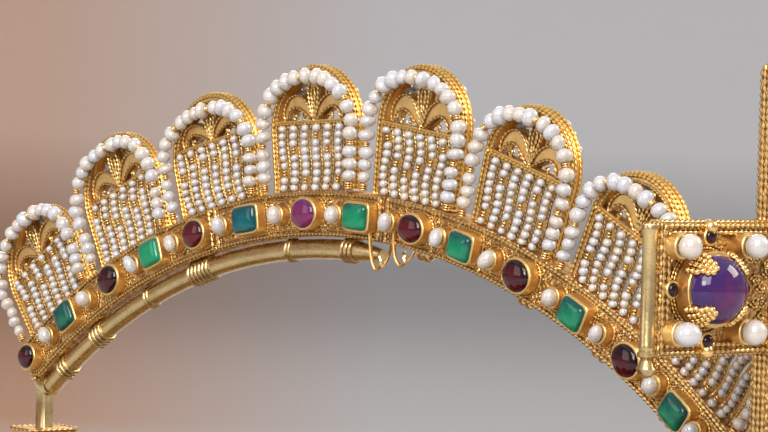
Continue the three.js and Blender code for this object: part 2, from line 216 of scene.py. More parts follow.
class Term:
    """An output socket used in Python sums; each step adds a Math node."""

    def __init__(self, nodes, socket):
        self.nodes = nodes
        self.socket = socket

    def other(self, name):
        """Another output of the same node."""
        return Term(self.nodes, self.socket.node.outputs[name])

    def _math(self, operation, first, second):
        return self.nodes.add("ShaderNodeMath", {"operation": operation}, {0: first, 1: second})

    def __add__(self, value):
        return self._math("ADD", self, value)

    __radd__ = __add__

    def __sub__(self, value):
        return self._math("SUBTRACT", self, value)

    def __rsub__(self, value):
        return self._math("SUBTRACT", value, self)

    def __mul__(self, value):
        return self._math("MULTIPLY", self, value)

    __rmul__ = __mul__

    def __truediv__(self, value):
        return self._math("DIVIDE", self, value)

    def __rtruediv__(self, value):
        return self._math("DIVIDE", value, self)

    def __mod__(self, value):
        return self._math("MODULO", self, value)

    def __rmod__(self, value):
        return self._math("MODULO", value, self)


class Nodes:
    """A node tree under construction."""

    def __init__(self, tree):
        self.tree = tree

    def add(self, kind, settings=None, inputs=None, output=0):
        """Adds a node: its settings first, then the values or links of its sockets."""
        node = self.tree.nodes.new(kind)
        for name, value in (settings or {}).items():
            setattr(node, name, value)
        for name, value in (inputs or {}).items():
            if isinstance(value, Term):
                self.tree.links.new(value.socket, node.inputs[name])
            else:
                node.inputs[name].default_value = value
        return Term(self, node.outputs[output]) if len(node.outputs) else None

    def noise(self, place, scale, detail=2.0, distortion=0.0):
        """Smooth random values about one half."""
        return self.add("ShaderNodeTexNoise", {}, {
            "Vector": place, "Scale": scale, "Detail": detail, "Distortion": distortion})

    def clamp(self, value):
        """A value kept between 0 and 1."""
        return self.add("ShaderNodeClamp", {}, {"Value": value})

    def blend(self, share, first, second):
        """A colour between two colours."""
        return self.add("ShaderNodeMix", {"data_type": "RGBA"}, {
            0: self.clamp(share), 6: self.colour(first), 7: self.colour(second)}, 2)

    @staticmethod
    def colour(value):
        """A colour as a link or as four numbers."""
        return value if isinstance(value, Term) else (*value, 1)


# -------------------------------------------------------------- materials


def new_material(name):
    """An empty node material and its nodes."""
    made = bpy.data.materials.new(name)
    made.use_nodes = True
    made.node_tree.nodes.clear()
    return made, Nodes(made.node_tree)


def close_material(nodes, inputs):
    """Adds the shader and the output."""
    shader = nodes.add("ShaderNodeBsdfPrincipled", {}, inputs)
    nodes.add("ShaderNodeOutputMaterial", {}, {"Surface": shader})


def gold_material(name, bright, deep, roughness, grain_depth, granules):
    """Worked gold: toned in patches, finely grained, and with painted shade between the beads of wires."""
    made, nodes = new_material(name)
    place = nodes.add("ShaderNodeTexCoord", output="Object")
    groove = nodes.add("ShaderNodeAttribute", {"attribute_name": "groove"}, output="Fac")
    patches = nodes.noise(place, 230, 3, 0.4)
    grain = nodes.noise(place, 2400, 3)
    wear = nodes.noise(place, 700, 2)
    share = (patches - 0.42) * 1.6 + (grain - 0.5) * 0.9
    height = grain * 0.6 + wear * 0.8
    if granules:
        cell = nodes.add("ShaderNodeTexVoronoi", {}, {"Vector": place, "Scale": 1150.0})
        share = share + (cell - 0.3) * 1.5 * granules
        height = height - cell * 3.5 * granules
    # Painted shade: the narrow waists between a wire's beads blend towards this dark colour.
    shade = tuple(0.3 * v for v in deep)
    close_material(nodes, {
        "Base Color": nodes.blend(groove * 0.75, nodes.blend(share, bright, deep), shade),
        "Metallic": 1.0,
        "Roughness": roughness + (wear - 0.5) * 0.22 + (grain - 0.5) * 0.12 + groove * 0.2,
        "Normal": nodes.add("ShaderNodeBump", {}, {
            "Strength": 0.5, "Distance": grain_depth, "Height": height}),
    })
    return made


def pearl_material(name, body):
    """Nacre: pale, warm or cool from pearl to pearl, with a clear skin."""
    made, nodes = new_material(name)
    place = nodes.add("ShaderNodeTexCoord", output="Object")
    tone = nodes.add("ShaderNodeAttribute", {"attribute_name": "tone"}, output="Fac")
    cloud = nodes.noise(place, 420, 2)
    warm = tuple(channel * factor for channel, factor in zip(body, (1.04, 0.94, 0.84)))
    cool = tuple(channel * factor for channel, factor in zip(body, (0.93, 0.97, 1.1)))
    close_material(nodes, {
        "Base Color": nodes.blend(tone + (cloud - 0.5) * 1.1, warm, cool),
        "Roughness": 0.26 + (cloud - 0.5) * 0.3,
        "Coat Weight": 1.0,
        "Coat Roughness": 0.05,
        "Coat IOR": 1.75,
        "Specular IOR Level": 0.8,
        "Normal": nodes.add("ShaderNodeBump", {}, {
            "Strength": 0.15, "Distance": 0.0001, "Height": nodes.noise(place, 1200, 2)}),
    })
    return made


def stone_material(name, deep, light):
    """A polished stone: darker or lighter by its tint, which holds its own lightness and painted shade and
    light, with soft inclusions.
    """
    made, nodes = new_material(name)
    place = nodes.add("ShaderNodeTexCoord", output="Object")
    tint = nodes.add("ShaderNodeAttribute", {"attribute_name": "tint"}, output="Fac")
    cloud = nodes.noise(place, 330, 4, 0.8)
    close_material(nodes, {
        "Base Color": nodes.blend(tint + (cloud - 0.5) * 1.5, deep, light),
        "Roughness": 0.05 + (cloud - 0.5) * 0.05,
        "Specular IOR Level": 0.42,
    })
    return made


# Gold finishes: name, colour, brighter and darker share, roughness, grain depth, granules.
GOLDS = (
    ("gold", "gold", 0.95, 0.6, 0.42, 0.00012, 0.0),
    # The rim finish is a lit copy of the gold: painted light on the lunettes' rims and their edge wires.
    ("rim", "lit_rim_gold", 1.0, 0.8, 0.34, 0.00008, 0.0),
    ("ground", "dark_gold", 2.1, 1.1, 0.46, 0.0003, 1.0),
    ("wire", "gold", 1.04, 0.72, 0.25, 0.00004, 0.0),
    ("pale_gold", "pale_gold", 1.0, 0.6, 0.27, 0.00005, 0.0),
    ("dark_gold", "dark_gold", 2.2, 1.2, 0.36, 0.00016, 0.4),
    ("panel", "dark_gold", 1.6, 0.75, 0.44, 0.0003, 1.0),
    ("inside", "gold", 0.8, 0.5, 0.4, 0.00025, 0.0),
)
# The lighter end of each stone's colour.
STONE_LIGHTS = {
    "garnet": (0.09, 0.002, 0.006),
    "emerald": (0.004, 0.22, 0.098),
    "teal_stone": (0.0, 0.1, 0.118),
    "amethyst": (0.15, 0.015, 0.075),
}
MATERIALS = {}


def toned(colour, factor):
    """A colour made lighter or darker."""
    return tuple(min(1, factor * channel) for channel in colour)


def finishes(scene):
    """The crown's materials by finish, made once."""
    if not MATERIALS:
        colours = scene.crown_colours
        for name, metal, bright, deep, roughness, grain_depth, granules in GOLDS:
            colour = getattr(colours, metal)
            tones = (toned(colour, bright), toned(colour, deep))
            MATERIALS[name] = gold_material(f"{name}_finish", *tones, roughness, grain_depth, granules)
        MATERIALS["pearl"] = pearl_material("nacre", tuple(colours.pearl))
        for slot, light in STONE_LIGHTS.items():
            MATERIALS[slot] = stone_material(slot, getattr(colours, slot), light)
    return MATERIALS


# ------------------------------------------------------------- mesh making


class Face:
    """A flat place on the crown: across, up and out from an origin."""

    def __init__(self, origin, across, up, out):
        self.origin = np.array(origin, float)
        self.axes = np.array([across, up, out], float)

    def point(self, u, v, h=0.0):
        """One place across, up and out."""
        return self.origin + np.array([u, v, h]) @ self.axes

    def points(self, places, h=0.0):
        """Places across and up as points at a height."""
        flat = np.asarray(places, float)
        return self.origin + np.column_stack([flat, np.full(len(flat), h)]) @ self.axes

    def at(self, u, v, h=0.0, turn=0.0):
        """The same face moved, and turned about its outward axis in degrees."""
        c, s = math.cos(math.radians(turn)), math.sin(math.radians(turn))
        across, up, out = self.axes
        return Face(self.point(u, v, h), across * c + up * s, up * c - across * s, out)


def euler_to(direction):
    """The turn that takes +Z to a direction."""
    return tuple(Vector(direction).to_track_quat("Z", "Y").to_euler())


def settle(made, replaced=()):
    """Makes a finished object ride on the crown, and hides the solids it replaces."""
    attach(made, "root")
    if replaced:
        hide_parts(*replaced)


# Edges that turn by more degrees than this look sharp.
SHARP_ANGLE = 38


class Piece:
    """A mesh under construction."""

    def __init__(self):
        self.points, self.faces, self.tints_and_painted_light = [], [], []

    def loft(self, rings, tint=0.0):
        """Joins rings of points into a closed skin, capped at its ends."""
        count, size = len(rings), len(rings[0])
        faces = []
        for i in range(count - 1):
            a, b = i * size, (i + 1) * size
            faces.extend((a + k, a + (k + 1) % size, b + (k + 1) % size, b + k) for k in range(size))
        faces.append(tuple(reversed(range(size))))
        faces.append(tuple(range((count - 1) * size, count * size)))
        start = len(self.points)
        self.points.extend(map(tuple, np.concatenate(rings)))
        self.faces.extend(tuple(start + i for i in face) for face in faces)
        self.tints_and_painted_light.extend(np.broadcast_to(tint, count * size))

    def finish(self, name, material, slot, replaced=()):
        """The mesh as an object at the origin, with its faces pointing out."""
        mesh = bpy.data.meshes.new(name)
        mesh.from_pydata([tuple(c * MM for c in p) for p in self.points], [], self.faces)
        shape = bmesh.new()
        shape.from_mesh(mesh)
        bmesh.ops.recalc_face_normals(shape, faces=shape.faces)
        shape.to_mesh(mesh)
        shape.free()
        # The tint holds each point's own lightness and, on stones, painted shade and light.
        tint = mesh.attributes.new("tint", "FLOAT", "POINT")
        tint.data.foreach_set("value", np.array(self.tints_and_painted_light, np.float32))
        mesh.shade_smooth()
        mesh.set_sharp_from_angle(angle=math.radians(SHARP_ANGLE))
        mesh.materials.append(material)
        made = bpy.data.objects.new(name, mesh)
        bpy.context.scene.collection.objects.link(made)
        settle(made, replaced)


def outline(form, half_u, half_v, count=24):
    """A stone's outline: an oval or a square with round corners."""
    power = 1.0 if form == "oval" else 0.36
    turn = np.linspace(0, 2 * math.pi, count, endpoint=False)
    c, s = np.cos(turn), np.sin(turn)
    across, up = np.sign(c) * np.abs(c) ** power, np.sign(s) * np.abs(s) ** power
    return np.column_stack([half_u * across, half_v * up])


def add_collet(piece, face, form, half_u, half_v, rise, wall=0.35, sides=24):
    """A plain-walled collet with a rim turned in over its stone."""
    steps = (
        (wall + 0.12, -0.2), (wall, 0.25), (wall, rise - 0.15),
        (wall - 0.12, rise), (-0.16, rise + 0.04), (-0.3, rise - 0.6),
    )
    piece.loft([face.points(outline(form, half_u + w, half_v + w, sides), h) for w, h in steps])


def add_stone(piece, face, form, half_u, half_v, low, dome, tint, sides=24):
    """A polished domed stone, with painted shade at its rim and painted light towards its middle, its lower
    side and one side.
    """
    power = 1.0 if form == "oval" else 0.5
    steps = [(0.93, low - 0.5)]
    for turn in (0, 16, 32, 48, 64, 78):
        a = math.radians(turn)
        steps.append((0.985 * math.cos(a) ** power, low + dome * math.sin(a)))
    rings, tints_and_painted_light = [], []
    for share, height in (*steps, (0.03, low + dome)):
        places = outline(form, half_u * share, half_v * share, sides)
        rings.append(face.points(places, height))
        across, up = places[:, 0] / half_u, places[:, 1] / half_v
        # On top of the stone's own lightness, painted light: a darker rim, and a lighter middle, lower side
        # and one side.
        tints_and_painted_light.extend(tint + 0.25 - 0.75 * share ** 3 - 0.4 * up + 0.15 * across)
    piece.loft(rings, tints_and_painted_light)


def add_ribbon(piece, line, across, half_width, half_thick):
    """A flat strip along a line; across is the way its width runs."""
    line = np.asarray(line, float)
    along = np.gradient(line, axis=0)
    along /= np.linalg.norm(along, axis=1)[:, None]
    width = np.asarray(across, float) / np.linalg.norm(across) * half_width
    thick = np.cross(along, width)
    thick *= half_thick / np.linalg.norm(thick, axis=1)[:, None]
    corners = ((1, 1), (-1, 1), (-1, -1), (1, -1))
    piece.loft([np.array([point + w * width + h * t for w, h in corners]) for point, t in zip(line, thick)])


def add_tube(piece, line, radius, sides):
    """A round wire along a line; the radius may be one number or one a point."""
    line = np.asarray(line, float)
    radii = np.broadcast_to(radius, len(line))
    along = np.gradient(line, axis=0)
    along /= np.linalg.norm(along, axis=1)[:, None]
    normal = Vector(along[0]).orthogonal().normalized()
    rings = []
    for point, direction, r in zip(line, along, radii):
        direction = Vector(direction)
        normal = (normal - direction * normal.dot(direction)).normalized()
        other = direction.cross(normal)
        turn = np.linspace(0, 2 * math.pi, sides, endpoint=False)
        rings.append(point + r * (np.outer(np.cos(turn), normal) + np.outer(np.sin(turn), other)))
    piece.loft(rings)


def add_plate(piece, face, shape, low, high):
    """A flat sheet with an outline, between two heights."""
    piece.loft([face.points(shape, low), face.points(shape, high)])


# ---------------------------------------------------------- geometry nodes


class Growth(Nodes):
    """A geometry node tree with named inputs, built once and used by pieces."""

    KINDS = {float: "NodeSocketFloat", int: "NodeSocketInt"}

    def __init__(self, name, sizes):
        super().__init__(bpy.data.node_groups.new(name, "GeometryNodeTree"))
        sockets = self.tree.interface
        sockets.new_socket("Geometry", in_out="INPUT", socket_type="NodeSocketGeometry")
        for label, value in sizes.items():
            made = sockets.new_socket(label, in_out="INPUT", socket_type=self.KINDS[type(value)])
            made.default_value = value
        sockets.new_socket("Finish", in_out="INPUT", socket_type="NodeSocketMaterial")
        sockets.new_socket("Geometry", in_out="OUTPUT", socket_type="NodeSocketGeometry")
        self.entry = self.add("NodeGroupInput")

    def given(self, name):
        """A named input of the tree."""
        return self.entry.other(name)

    def close(self, shape):
        """Ends the tree: smooth, realized and with its material."""
        smooth = self.add("GeometryNodeSetShadeSmooth", {}, {"Geometry": shape})
        real = self.add("GeometryNodeRealizeInstances", {}, {"Geometry": smooth})
        done = self.add("GeometryNodeSetMaterial", {}, {"Geometry": real, "Material": self.given("Finish")})
        self.add("NodeGroupOutput", {}, {"Geometry": done})
        return self.tree


def beaded_wire_tree():
    """Swells a line at every second step into a beaded wire, and marks those narrow steps for painted shade.
    """
    tree = Growth("Beaded wire", {"Bead pitch": 0.0008, "Wire radius": 0.0004, "Waist": 0.4, "Sides": 6})
    line = tree.add("GeometryNodeMeshToCurve", {}, {"Mesh": tree.given("Geometry")})
    line = tree.add("GeometryNodeResampleCurve", {"mode": "LENGTH"}, {
        "Curve": line, "Length": tree.given("Bead pitch") / 2})
    odd = tree.add("GeometryNodeInputIndex") % 2
    # The waists are stored as a mask that the gold finishes use for painted shade between beads.
    line = tree.add("GeometryNodeStoreNamedAttribute", {"data_type": "FLOAT", "domain": "POINT"}, {
        "Geometry": line, "Name": "groove", "Value": odd})
    girth = tree.given("Wire radius") * (1 - odd * (1 - tree.given("Waist")))
    section = tree.add("GeometryNodeCurvePrimitiveCircle", {"mode": "RADIUS"}, {
        "Resolution": tree.given("Sides"), "Radius": 1.0})
    return tree.close(tree.add("GeometryNodeCurveToMesh", {}, {
        "Curve": line, "Profile Curve": section, "Scale": girth, "Fill Caps": True}))


def scatter(tree, shape, unevenness=None):
    """Sets a shape on every point by the point's own size and turn."""
    named = {"data_type": "FLOAT_VECTOR"}
    size = tree.add("GeometryNodeInputNamedAttribute", named, {"Name": "size"})
    turn = tree.add("GeometryNodeInputNamedAttribute", named, {"Name": "turn"})
    rotation = tree.add("FunctionNodeEulerToRotation", {}, {"Euler": turn})
    placed = tree.add("GeometryNodeInstanceOnPoints", {}, {
        "Points": tree.given("Geometry"), "Instance": shape, "Rotation": rotation, "Scale": size})
    real = tree.add("GeometryNodeRealizeInstances", {}, {"Geometry": placed})
    if unevenness is not None:
        place = tree.add("GeometryNodeInputPosition")
        noise = tree.add("ShaderNodeTexNoise", {"noise_dimensions": "4D"}, {
            "Vector": place, "W": tree.given("Seed"), "Scale": 420.0, "Detail": 1.0})
        push = tree.add("ShaderNodeVectorMath", {"operation": "SCALE"}, {
            0: tree.add("GeometryNodeInputNormal"), "Scale": (noise - 0.5) * unevenness})
        real = tree.add("GeometryNodeSetPosition", {}, {"Geometry": real, "Offset": push})
    return tree.close(real)


def pearl_tree():
    """Sets a pearl, a little uneven, on every point."""
    tree = Growth("Pearls", {"Segments": 10, "Rings": 6, "Unevenness": 0.0005, "Seed": 3.0})
    ball = tree.add("GeometryNodeMeshUVSphere", {}, {
        "Segments": tree.given("Segments"), "Rings": tree.given("Rings"), "Radius": 1.0})
    return scatter(tree, ball, tree.given("Unevenness"))


def ring_tree():
    """Sets a wire ring on every point."""
    tree = Growth("Wire rings", {"Segments": 10, "Wire share": 0.34})
    loop = tree.add("GeometryNodeCurvePrimitiveCircle", {"mode": "RADIUS"}, {
        "Resolution": tree.given("Segments"), "Radius": 1 - tree.given("Wire share")})
    section = tree.add("GeometryNodeCurvePrimitiveCircle", {"mode": "RADIUS"}, {
        "Resolution": 4, "Radius": tree.given("Wire share")})
    return scatter(tree, tree.add("GeometryNodeCurveToMesh", {}, {"Curve": loop, "Profile Curve": section}))


TREES = {}


def grown(name, kind, mesh, inputs, material):
    """Runs a tree on a bare mesh and keeps the result as a plain mesh."""
    makers = {"wire": beaded_wire_tree, "pearl": pearl_tree, "ring": ring_tree}
    if kind not in TREES:
        TREES[kind] = makers[kind]()
    tree = TREES[kind]
    made = bpy.data.objects.new(name, mesh)
    bpy.context.scene.collection.objects.link(made)
    modifier = made.modifiers.new("Growth", "NODES")
    modifier.node_group = tree
    sockets = {item.name: item.identifier for item in tree.interface.items_tree if item.in_out == "INPUT"}
    for label, value in {**inputs, "Finish": material}.items():
        modifier[sockets[label]] = value
    graph = bpy.context.evaluated_depsgraph_get()
    plain = bpy.data.meshes.new_from_object(
        made.evaluated_get(graph), preserve_all_data_layers=True, depsgraph=graph)
    made.modifiers.remove(modifier)
    made.data = plain
    plain.name = name
    bpy.data.meshes.remove(mesh)
    settle(made)


def wire_piece(name, lines, diameter, sides=6, material="wire", pitch=None):
    """Beaded wires along lines."""
    mesh = bpy.data.meshes.new(name)
    points, edges = [], []
    for line in lines:
        start = len(points)
        points.extend(tuple(c * MM for c in p) for p in line)
        edges.extend((i, i + 1) for i in range(start, len(points) - 1))
    mesh.from_pydata(points, edges, [])
    inputs = {"Bead pitch": pitch or diameter * 1.05, "Wire radius": diameter / 2, "Sides": sides}
    grown(name, "wire", mesh, inputs, finishes(bpy.context.scene)[material])


class Scatter:
    """Points for pearls, beads or rings, each with a size, a turn and a tone."""

    def __init__(self, seed):
        self.chance = random.Random(seed)
        self.points, self.sizes, self.turns, self.tones = [], [], [], []

    def add(self, point, direction, girth, length):
        """One thing at a point, with its poles along a direction."""
        self.points.append(tuple(c * MM for c in point))
        self.sizes.append((girth * MM / 2, girth * MM / 2, length * MM / 2))
        self.turns.append(euler_to(direction))
        self.tones.append(self.chance.random())

    def add_pearl(self, point, direction, girth, length):
        """A pearl, a little larger or smaller and leaning by chance."""
        lean = Vector([self.chance.uniform(-0.35, 0.35) for _ in range(3)])
        girth *= self.chance.uniform(0.86, 1.1)
        length *= self.chance.uniform(0.92, 1.12)
        self.add(point, Vector(direction).normalized() + lean, girth, length)

    def add_rings(self, middle, direction, girth, count, pitch, height):
        """A ribbed sleeve of wire rings about a middle."""
        axis = np.array(Vector(direction).normalized())
        for i in range(count):
            self.add(np.asarray(middle) + axis * pitch * (i - (count - 1) / 2), axis, girth, height)

    def finish(self, name, kind, inputs, material, slot):
        """Grows the shape of a kind on every point."""
        mesh = bpy.data.meshes.new(name)
        mesh.from_pydata(self.points, [], [])
        for label, form, key, values in (
            ("size", "FLOAT_VECTOR", "vector", self.sizes),
            ("turn", "FLOAT_VECTOR", "vector", self.turns),
            ("tone", "FLOAT", "value", self.tones),
        ):
            numbers = np.array(values, np.float32).ravel()
            mesh.attributes.new(label, form, "POINT").data.foreach_set(key, numbers)
        grown(name, kind, mesh, inputs, material)


def finish_pearls(pearls, name, unevenness, segments):
    """Pearls with one side more from pole to pole than half their sides round."""
    inputs = {"Unevenness": unevenness, "Segments": segments, "Rings": segments // 2 + 1}
    pearls.finish(name, "pearl", inputs, finishes(bpy.context.scene)["pearl"], "pearl")


def finish_rings(rings, name, material="wire", share=0.34):
    """Wire rings whose wire is a share of their half width."""
    rings.finish(name, "ring", {"Wire share": share}, finishes(bpy.context.scene)[material], "gold")


# ------------------------------------------------------- shapes in the goldwork


def along_line(line, start, step, count):
    """Points and directions at even steps along a line."""
    line = np.asarray(line, float)
    lengths = np.concatenate([[0], np.cumsum(np.linalg.norm(np.diff(line, axis=0), axis=1))])

    def place(at):
        return np.array([np.interp(at, lengths, line[:, k]) for k in range(3)])

    stops = [start + step * i for i in range(count)]
    return [(place(at), place(at + 0.3) - place(at - 0.3)) for at in stops]


def line_length(line):
    """How long a line of points is."""
    return float(np.sum(np.linalg.norm(np.diff(np.asarray(line, float), axis=0), axis=1)))


def closed_line(face, places, h):
    """A line on a face that ends where it began."""
    return face.points([*places, places[0]], h)


def ring_line(face, form, half_u, half_v, h, count=28):
    """A closed line round a stone."""
    return closed_line(face, outline(form, half_u, half_v, count), h)


CURL_TURNS, CURL_POINTS = 1.5, 17


def curl(face, u, v, size, turn, hand, h):
    """A spiral curl of filigree with a short straight tail."""
    place = face.at(u, v, 0, turn)
    angles = np.linspace(0, CURL_TURNS * 2 * math.pi, CURL_POINTS)
    radii = size * np.linspace(1.0, 0.22, CURL_POINTS)
    spiral = np.column_stack([hand * radii * np.sin(angles), size - radii * np.cos(angles)])
    tail = [[-hand * size * 0.9, -0.1 * size]]
    return place.points(np.vstack([tail, spiral]), h)


def arch_face(degrees, side, radius=0.0, out=0.0):
    """A face of the arch at an angle: side -1 looks to -X and 1 to +X."""
    turn = math.radians(degrees)
    up = np.array([0, math.cos(turn), math.sin(turn)])
    across = side * np.array([0, math.sin(turn), -math.cos(turn)])
    outward = np.array([side, 0, 0])
    return Face(ARCH_MIDDLE + up * radius + outward * out, across, up, outward)


# ------------------------------------------------------------------- band


def band_half_height(degrees):
    """The band's half height, which rounds off at its back end."""
    half = (BAND_OUTER - BAND_INNER) / 2
    past = math.radians(BAND_START - degrees) * BAND_CENTRE + half
    return half if past <= 0 else math.sqrt(max(half * half - past * past, 0.16))


def add_band_length(piece, start, stop):
    """One length of the band's hollow sheet body."""
    rings = []
    x, cut = BAND_HALF, 0.25
    for t in np.linspace(start, stop, int((stop - start) / 0.8) + 2):
        half, face = band_half_height(t), arch_face(t, 1, BAND_CENTRE)
        section = (
            (-half, -x + cut), (-half, x - cut), (-half + cut, x), (half - cut, x),
            (half, x - cut), (half, -x + cut), (half - cut, -x), (-half + cut, -x),
        )
        rings.append(np.array([face.point(0, v, h) for v, h in section]))
    piece.loft(rings)


def band_edge(side, inset, h, start, stop):
    """The lower and the upper line just inside the band's edges, between two angles."""
    low, high = [], []
    for t in np.linspace(start, stop, int((stop - start) / 0.6) + 2):
        half = max(band_half_height(t) - inset, 0.05)
        face = arch_face(t, side, BAND_CENTRE, h)
        low.append(face.point(0, -half))
        high.append(face.point(0, half))
    return low, high


def add_band_borders(edges, fine, name, first, last):
    """Wires along both edges of a length and across its ends, on both faces."""
    for side in SIDES:
        for inset, h, store in ((0.5, BAND_HALF + 0.22, edges), (1.25, BAND_HALF + 0.1, fine)):
            from_end = 0.15 + inset / 2.6 if name == "back" else 0.25 + inset / 3
            low, high = band_edge(side, inset, h, first + from_end, last - 0.25)
            store.append(low if name == "front" else low + [high[-1]])
            store.append(high)
            if name != "back":
                store.append([low[0], high[0]])


def add_band_filigree(fine, side):
    """Curls between neighbours, and rings and curls round each stone, on one face."""
    h = BAND_HALF + 0.1
    spread = sorted([stone[0] for stone in BAND_STONES] + list(BAND_PEARLS))
    for t, t2 in zip(spread, spread[1:]):
        middle = (t + t2) / 2
        if any(abs(middle - joint) < 1.0 for joint in JOINTS):
            continue
        face = arch_face(middle, side, BAND_CENTRE)
        for up in SIDES:
            for hand in SIDES:
                fine.append(curl(face, hand * 0.8, up * 1.35, 0.85, 90 - 90 * up, hand * up, h))
    for t, _, form, half_u, half_v, _ in BAND_STONES:
        face = arch_face(t, side, BAND_CENTRE)
        fine.append(ring_line(face, form, half_u + 0.75, half_v + 0.72, h + 0.05))
        for across in SIDES:
            for up in SIDES:
                u, v = across * (half_u + 0.4), up * (half_v + 0.35)
                fine.append(curl(face, u, v, 0.62, 90 - 90 * up, across * up, h))
    for t in BAND_PEARLS:
        fine.append(ring_line(arch_face(t, side, BAND_CENTRE), "oval", 2.3, 2.4, h + 0.02, 20))


def build_band(scene):
    """Band sheets, their edge wires and the filigree on their faces."""
    sizes = scene.crown_sizes
    body = Piece()
    edges, fine = [], []
    gap = math.degrees(GAP / 2 / BAND_INNER)
    for name, start, stop in BAND_LENGTHS:
        add_band_length(body, start + gap, stop - gap)
        add_band_borders(edges, fine, name, start + gap, stop - gap)
    for side in SIDES:
        add_band_filigree(fine, side)
    nodes = [f"arch_band_{name}" for name, _, _ in BAND_LENGTHS]
    body.finish("band_sheets", finishes(scene)["ground"], "gold", nodes)
    wire_piece("band_edge_wires", edges, sizes.edge_wire)
    wire_piece("band_filigree", fine, sizes.fine_wire * 0.85, sides=4, pitch=0.00066)


def build_band_stones(scene):
    """Collets, stones and pearls along both faces of the band."""
    sizes, mats = scene.crown_sizes, finishes(scene)
    rise = sizes.collet_rise / MM
    collets, stones = Piece(), {slot: Piece() for slot in STONE_LIGHTS}
    pearls = Scatter(sizes.seed)
    for side in SIDES:
        for t, slot, form, half_u, half_v, tint in BAND_STONES:
            face = arch_face(t, side, BAND_CENTRE, BAND_HALF)
            add_collet(collets, face, form, half_u, half_v, rise)
            add_stone(stones[slot], face, form, half_u, half_v, rise, 1.15, tint)
        for t in BAND_PEARLS:
            face = arch_face(t, side, BAND_CENTRE, BAND_HALF)
            add_collet(collets, face, "oval", 1.45, 1.6, rise * 0.8)
            pearls.add_pearl(face.point(0, 0, rise * 0.8 + 0.6), face.axes[1], 2.8, 3.5)
    collets.finish("band_collets", mats["gold"], "gold")
    for slot, piece in stones.items():
        piece.finish(f"band_{slot}s", mats[slot], slot)
    finish_pearls(pearls, "band_pearls", unevenness=0.0003, segments=14)


# --------------------------------------------------------------- lunettes


class Lunette:
    """The plan of one lunette: across from its middle and up from the arch's middle."""

    def __init__(self, index):
        low, high = LUNETTE_GAPS[index] + LUNETTE_CLEAR, LUNETTE_GAPS[index + 1] - LUNETTE_CLEAR
        self.index = index
        self.middle = (low + high) / 2
        self.half_angle = math.radians((high - low) / 2)
        self.half = LUNETTE_SPRING * math.sin(self.half_angle)
        self.top = LUNETTE_TOPS[index]
        self.centre = self.top - self.half
        self.foot = LUNETTE_FOOT * math.sin(self.half_angle)
        self.foot_up = LUNETTE_FOOT * math.cos(self.half_angle)

    def face(self, side):
        """The face that the plan is drawn on."""
        return arch_face(self.middle, side)

    def head(self, inset, steps=22):
        """The round head, from its left springing to its right."""
        return [((self.half - inset) * math.sin(a), self.centre + (self.half - inset) * math.cos(a))
                for a in np.linspace(-math.pi / 2, math.pi / 2, steps)]

    def outline(self, inset, steps=22):
        """The head with both sides down to the band."""
        foot = self.foot - inset
        return [(-foot, self.foot_up), *self.head(inset, steps), (foot, self.foot_up)]

    def half_at(self, v, inset):
        """Half the clear width at a height below the head."""
        share = (v - self.foot_up) / (self.centre - self.foot_up)
        return self.foot + (self.half - self.foot) * min(share, 1) - inset

    def string(self, out):
        """The way of a pearl string: up one side, in under the head, down the other."""
        low = self.foot_up + 0.1
        line = [(-self.half_at(low, -out), low)]
        for a in np.linspace(-math.pi / 2, math.pi / 2, 31):
            radius = self.half + out - (out + STRING_DROPS[self.index]) * math.cos(a) ** 2
            line.append((radius * math.sin(a), self.centre + radius * math.cos(a)))
        return [*line, (self.half_at(low, -out), low)]


# A palmette's drop, and the outer and inner edge of one of its side lobes, on a plan 8.4 high.
TEARDROP = [
    (math.sin(t) * math.sin(t / 2) ** 1.15, (1 - math.cos(t)) / 2) for t in np.linspace(0, 2 * math.pi, 26)]
LOBE_OUTER = ((0.35, 0.5), (1.5, 2.8), (3.2, 4.4), (5.4, 5.1), (7.4, 4.5), (8.8, 3.0), (9.2, 1.4), (8.8, 0.3))
LOBE_INNER = ((8.2, 0.5), (7.9, 1.5), (7.0, 2.3), (5.4, 2.6), (3.6, 2.0), (1.9, 0.9), (0.6, 0.1))
LOBE_PLAN_HEIGHT = 8.4
LOBE_PLAN_HALF = 13.6
PALMETTE_LEVEL = 0.55


def smooth_line(places, per_span=4):
    """A rounder line through the same places."""
    p = np.asarray(places, float)
    p = np.vstack([2 * p[0] - p[1], p, 2 * p[-1] - p[-2]])
    found = []
    for i in range(1, len(p) - 2):
        before, here, after, later = p[i - 1:i + 3]
        slope = after - before
        bend = 2 * before - 5 * here + 4 * after - later
        twist = 3 * here - before - 3 * after + later
        for t in np.linspace(0, 1, per_span, endpoint=False):
            found.append(0.5 * (2 * here + slope * t + bend * t * t + twist * t ** 3))
    found.append(p[-2])
    return np.array(found)


def add_palmette(lunette, side, sheets, wires):
    """A three-lobed palmette above the bar: recessed sheet, beaded outlines."""
    face = lunette.face(side)
    base = LUNETTE_BAR + 0.5
    room = lunette.top - 2.0 - base
    wide = lunette.half / LOBE_PLAN_HALF
    low, high, line = PALMETTE_LEVEL, PALMETTE_LEVEL + 0.35, PALMETTE_LEVEL + 0.6
    drop = np.array([(u * 2.2 * wide, base + v * room) for u, v in TEARDROP])
    add_plate(sheets, face, drop[:-1], low, high)
    loop = np.array([(u * 0.95 * wide, base + room * (0.34 + 0.42 * v)) for u, v in TEARDROP])
    wires.extend([face.points(drop, line), face.points(loop, line)])
    for hand in SIDES:
        wires.append(face.points([(0, base), (hand * 0.55 * wide, base + room * 0.45)], line))
        outer, inner = (
            smooth_line([(hand * u * wide * 1.06, base + v * room / LOBE_PLAN_HEIGHT) for u, v in lobe])
            for lobe in (LOBE_OUTER, LOBE_INNER))
        add_plate(sheets, face, np.vstack([outer, inner]), low, high)
        wires.extend([face.points(outer, line), face.points(np.vstack([outer[-1:], inner]), line)])
        wires.append(curl(face, hand * 6.3 * wide, base + room / 16, 0.55, hand * 40, hand, line))


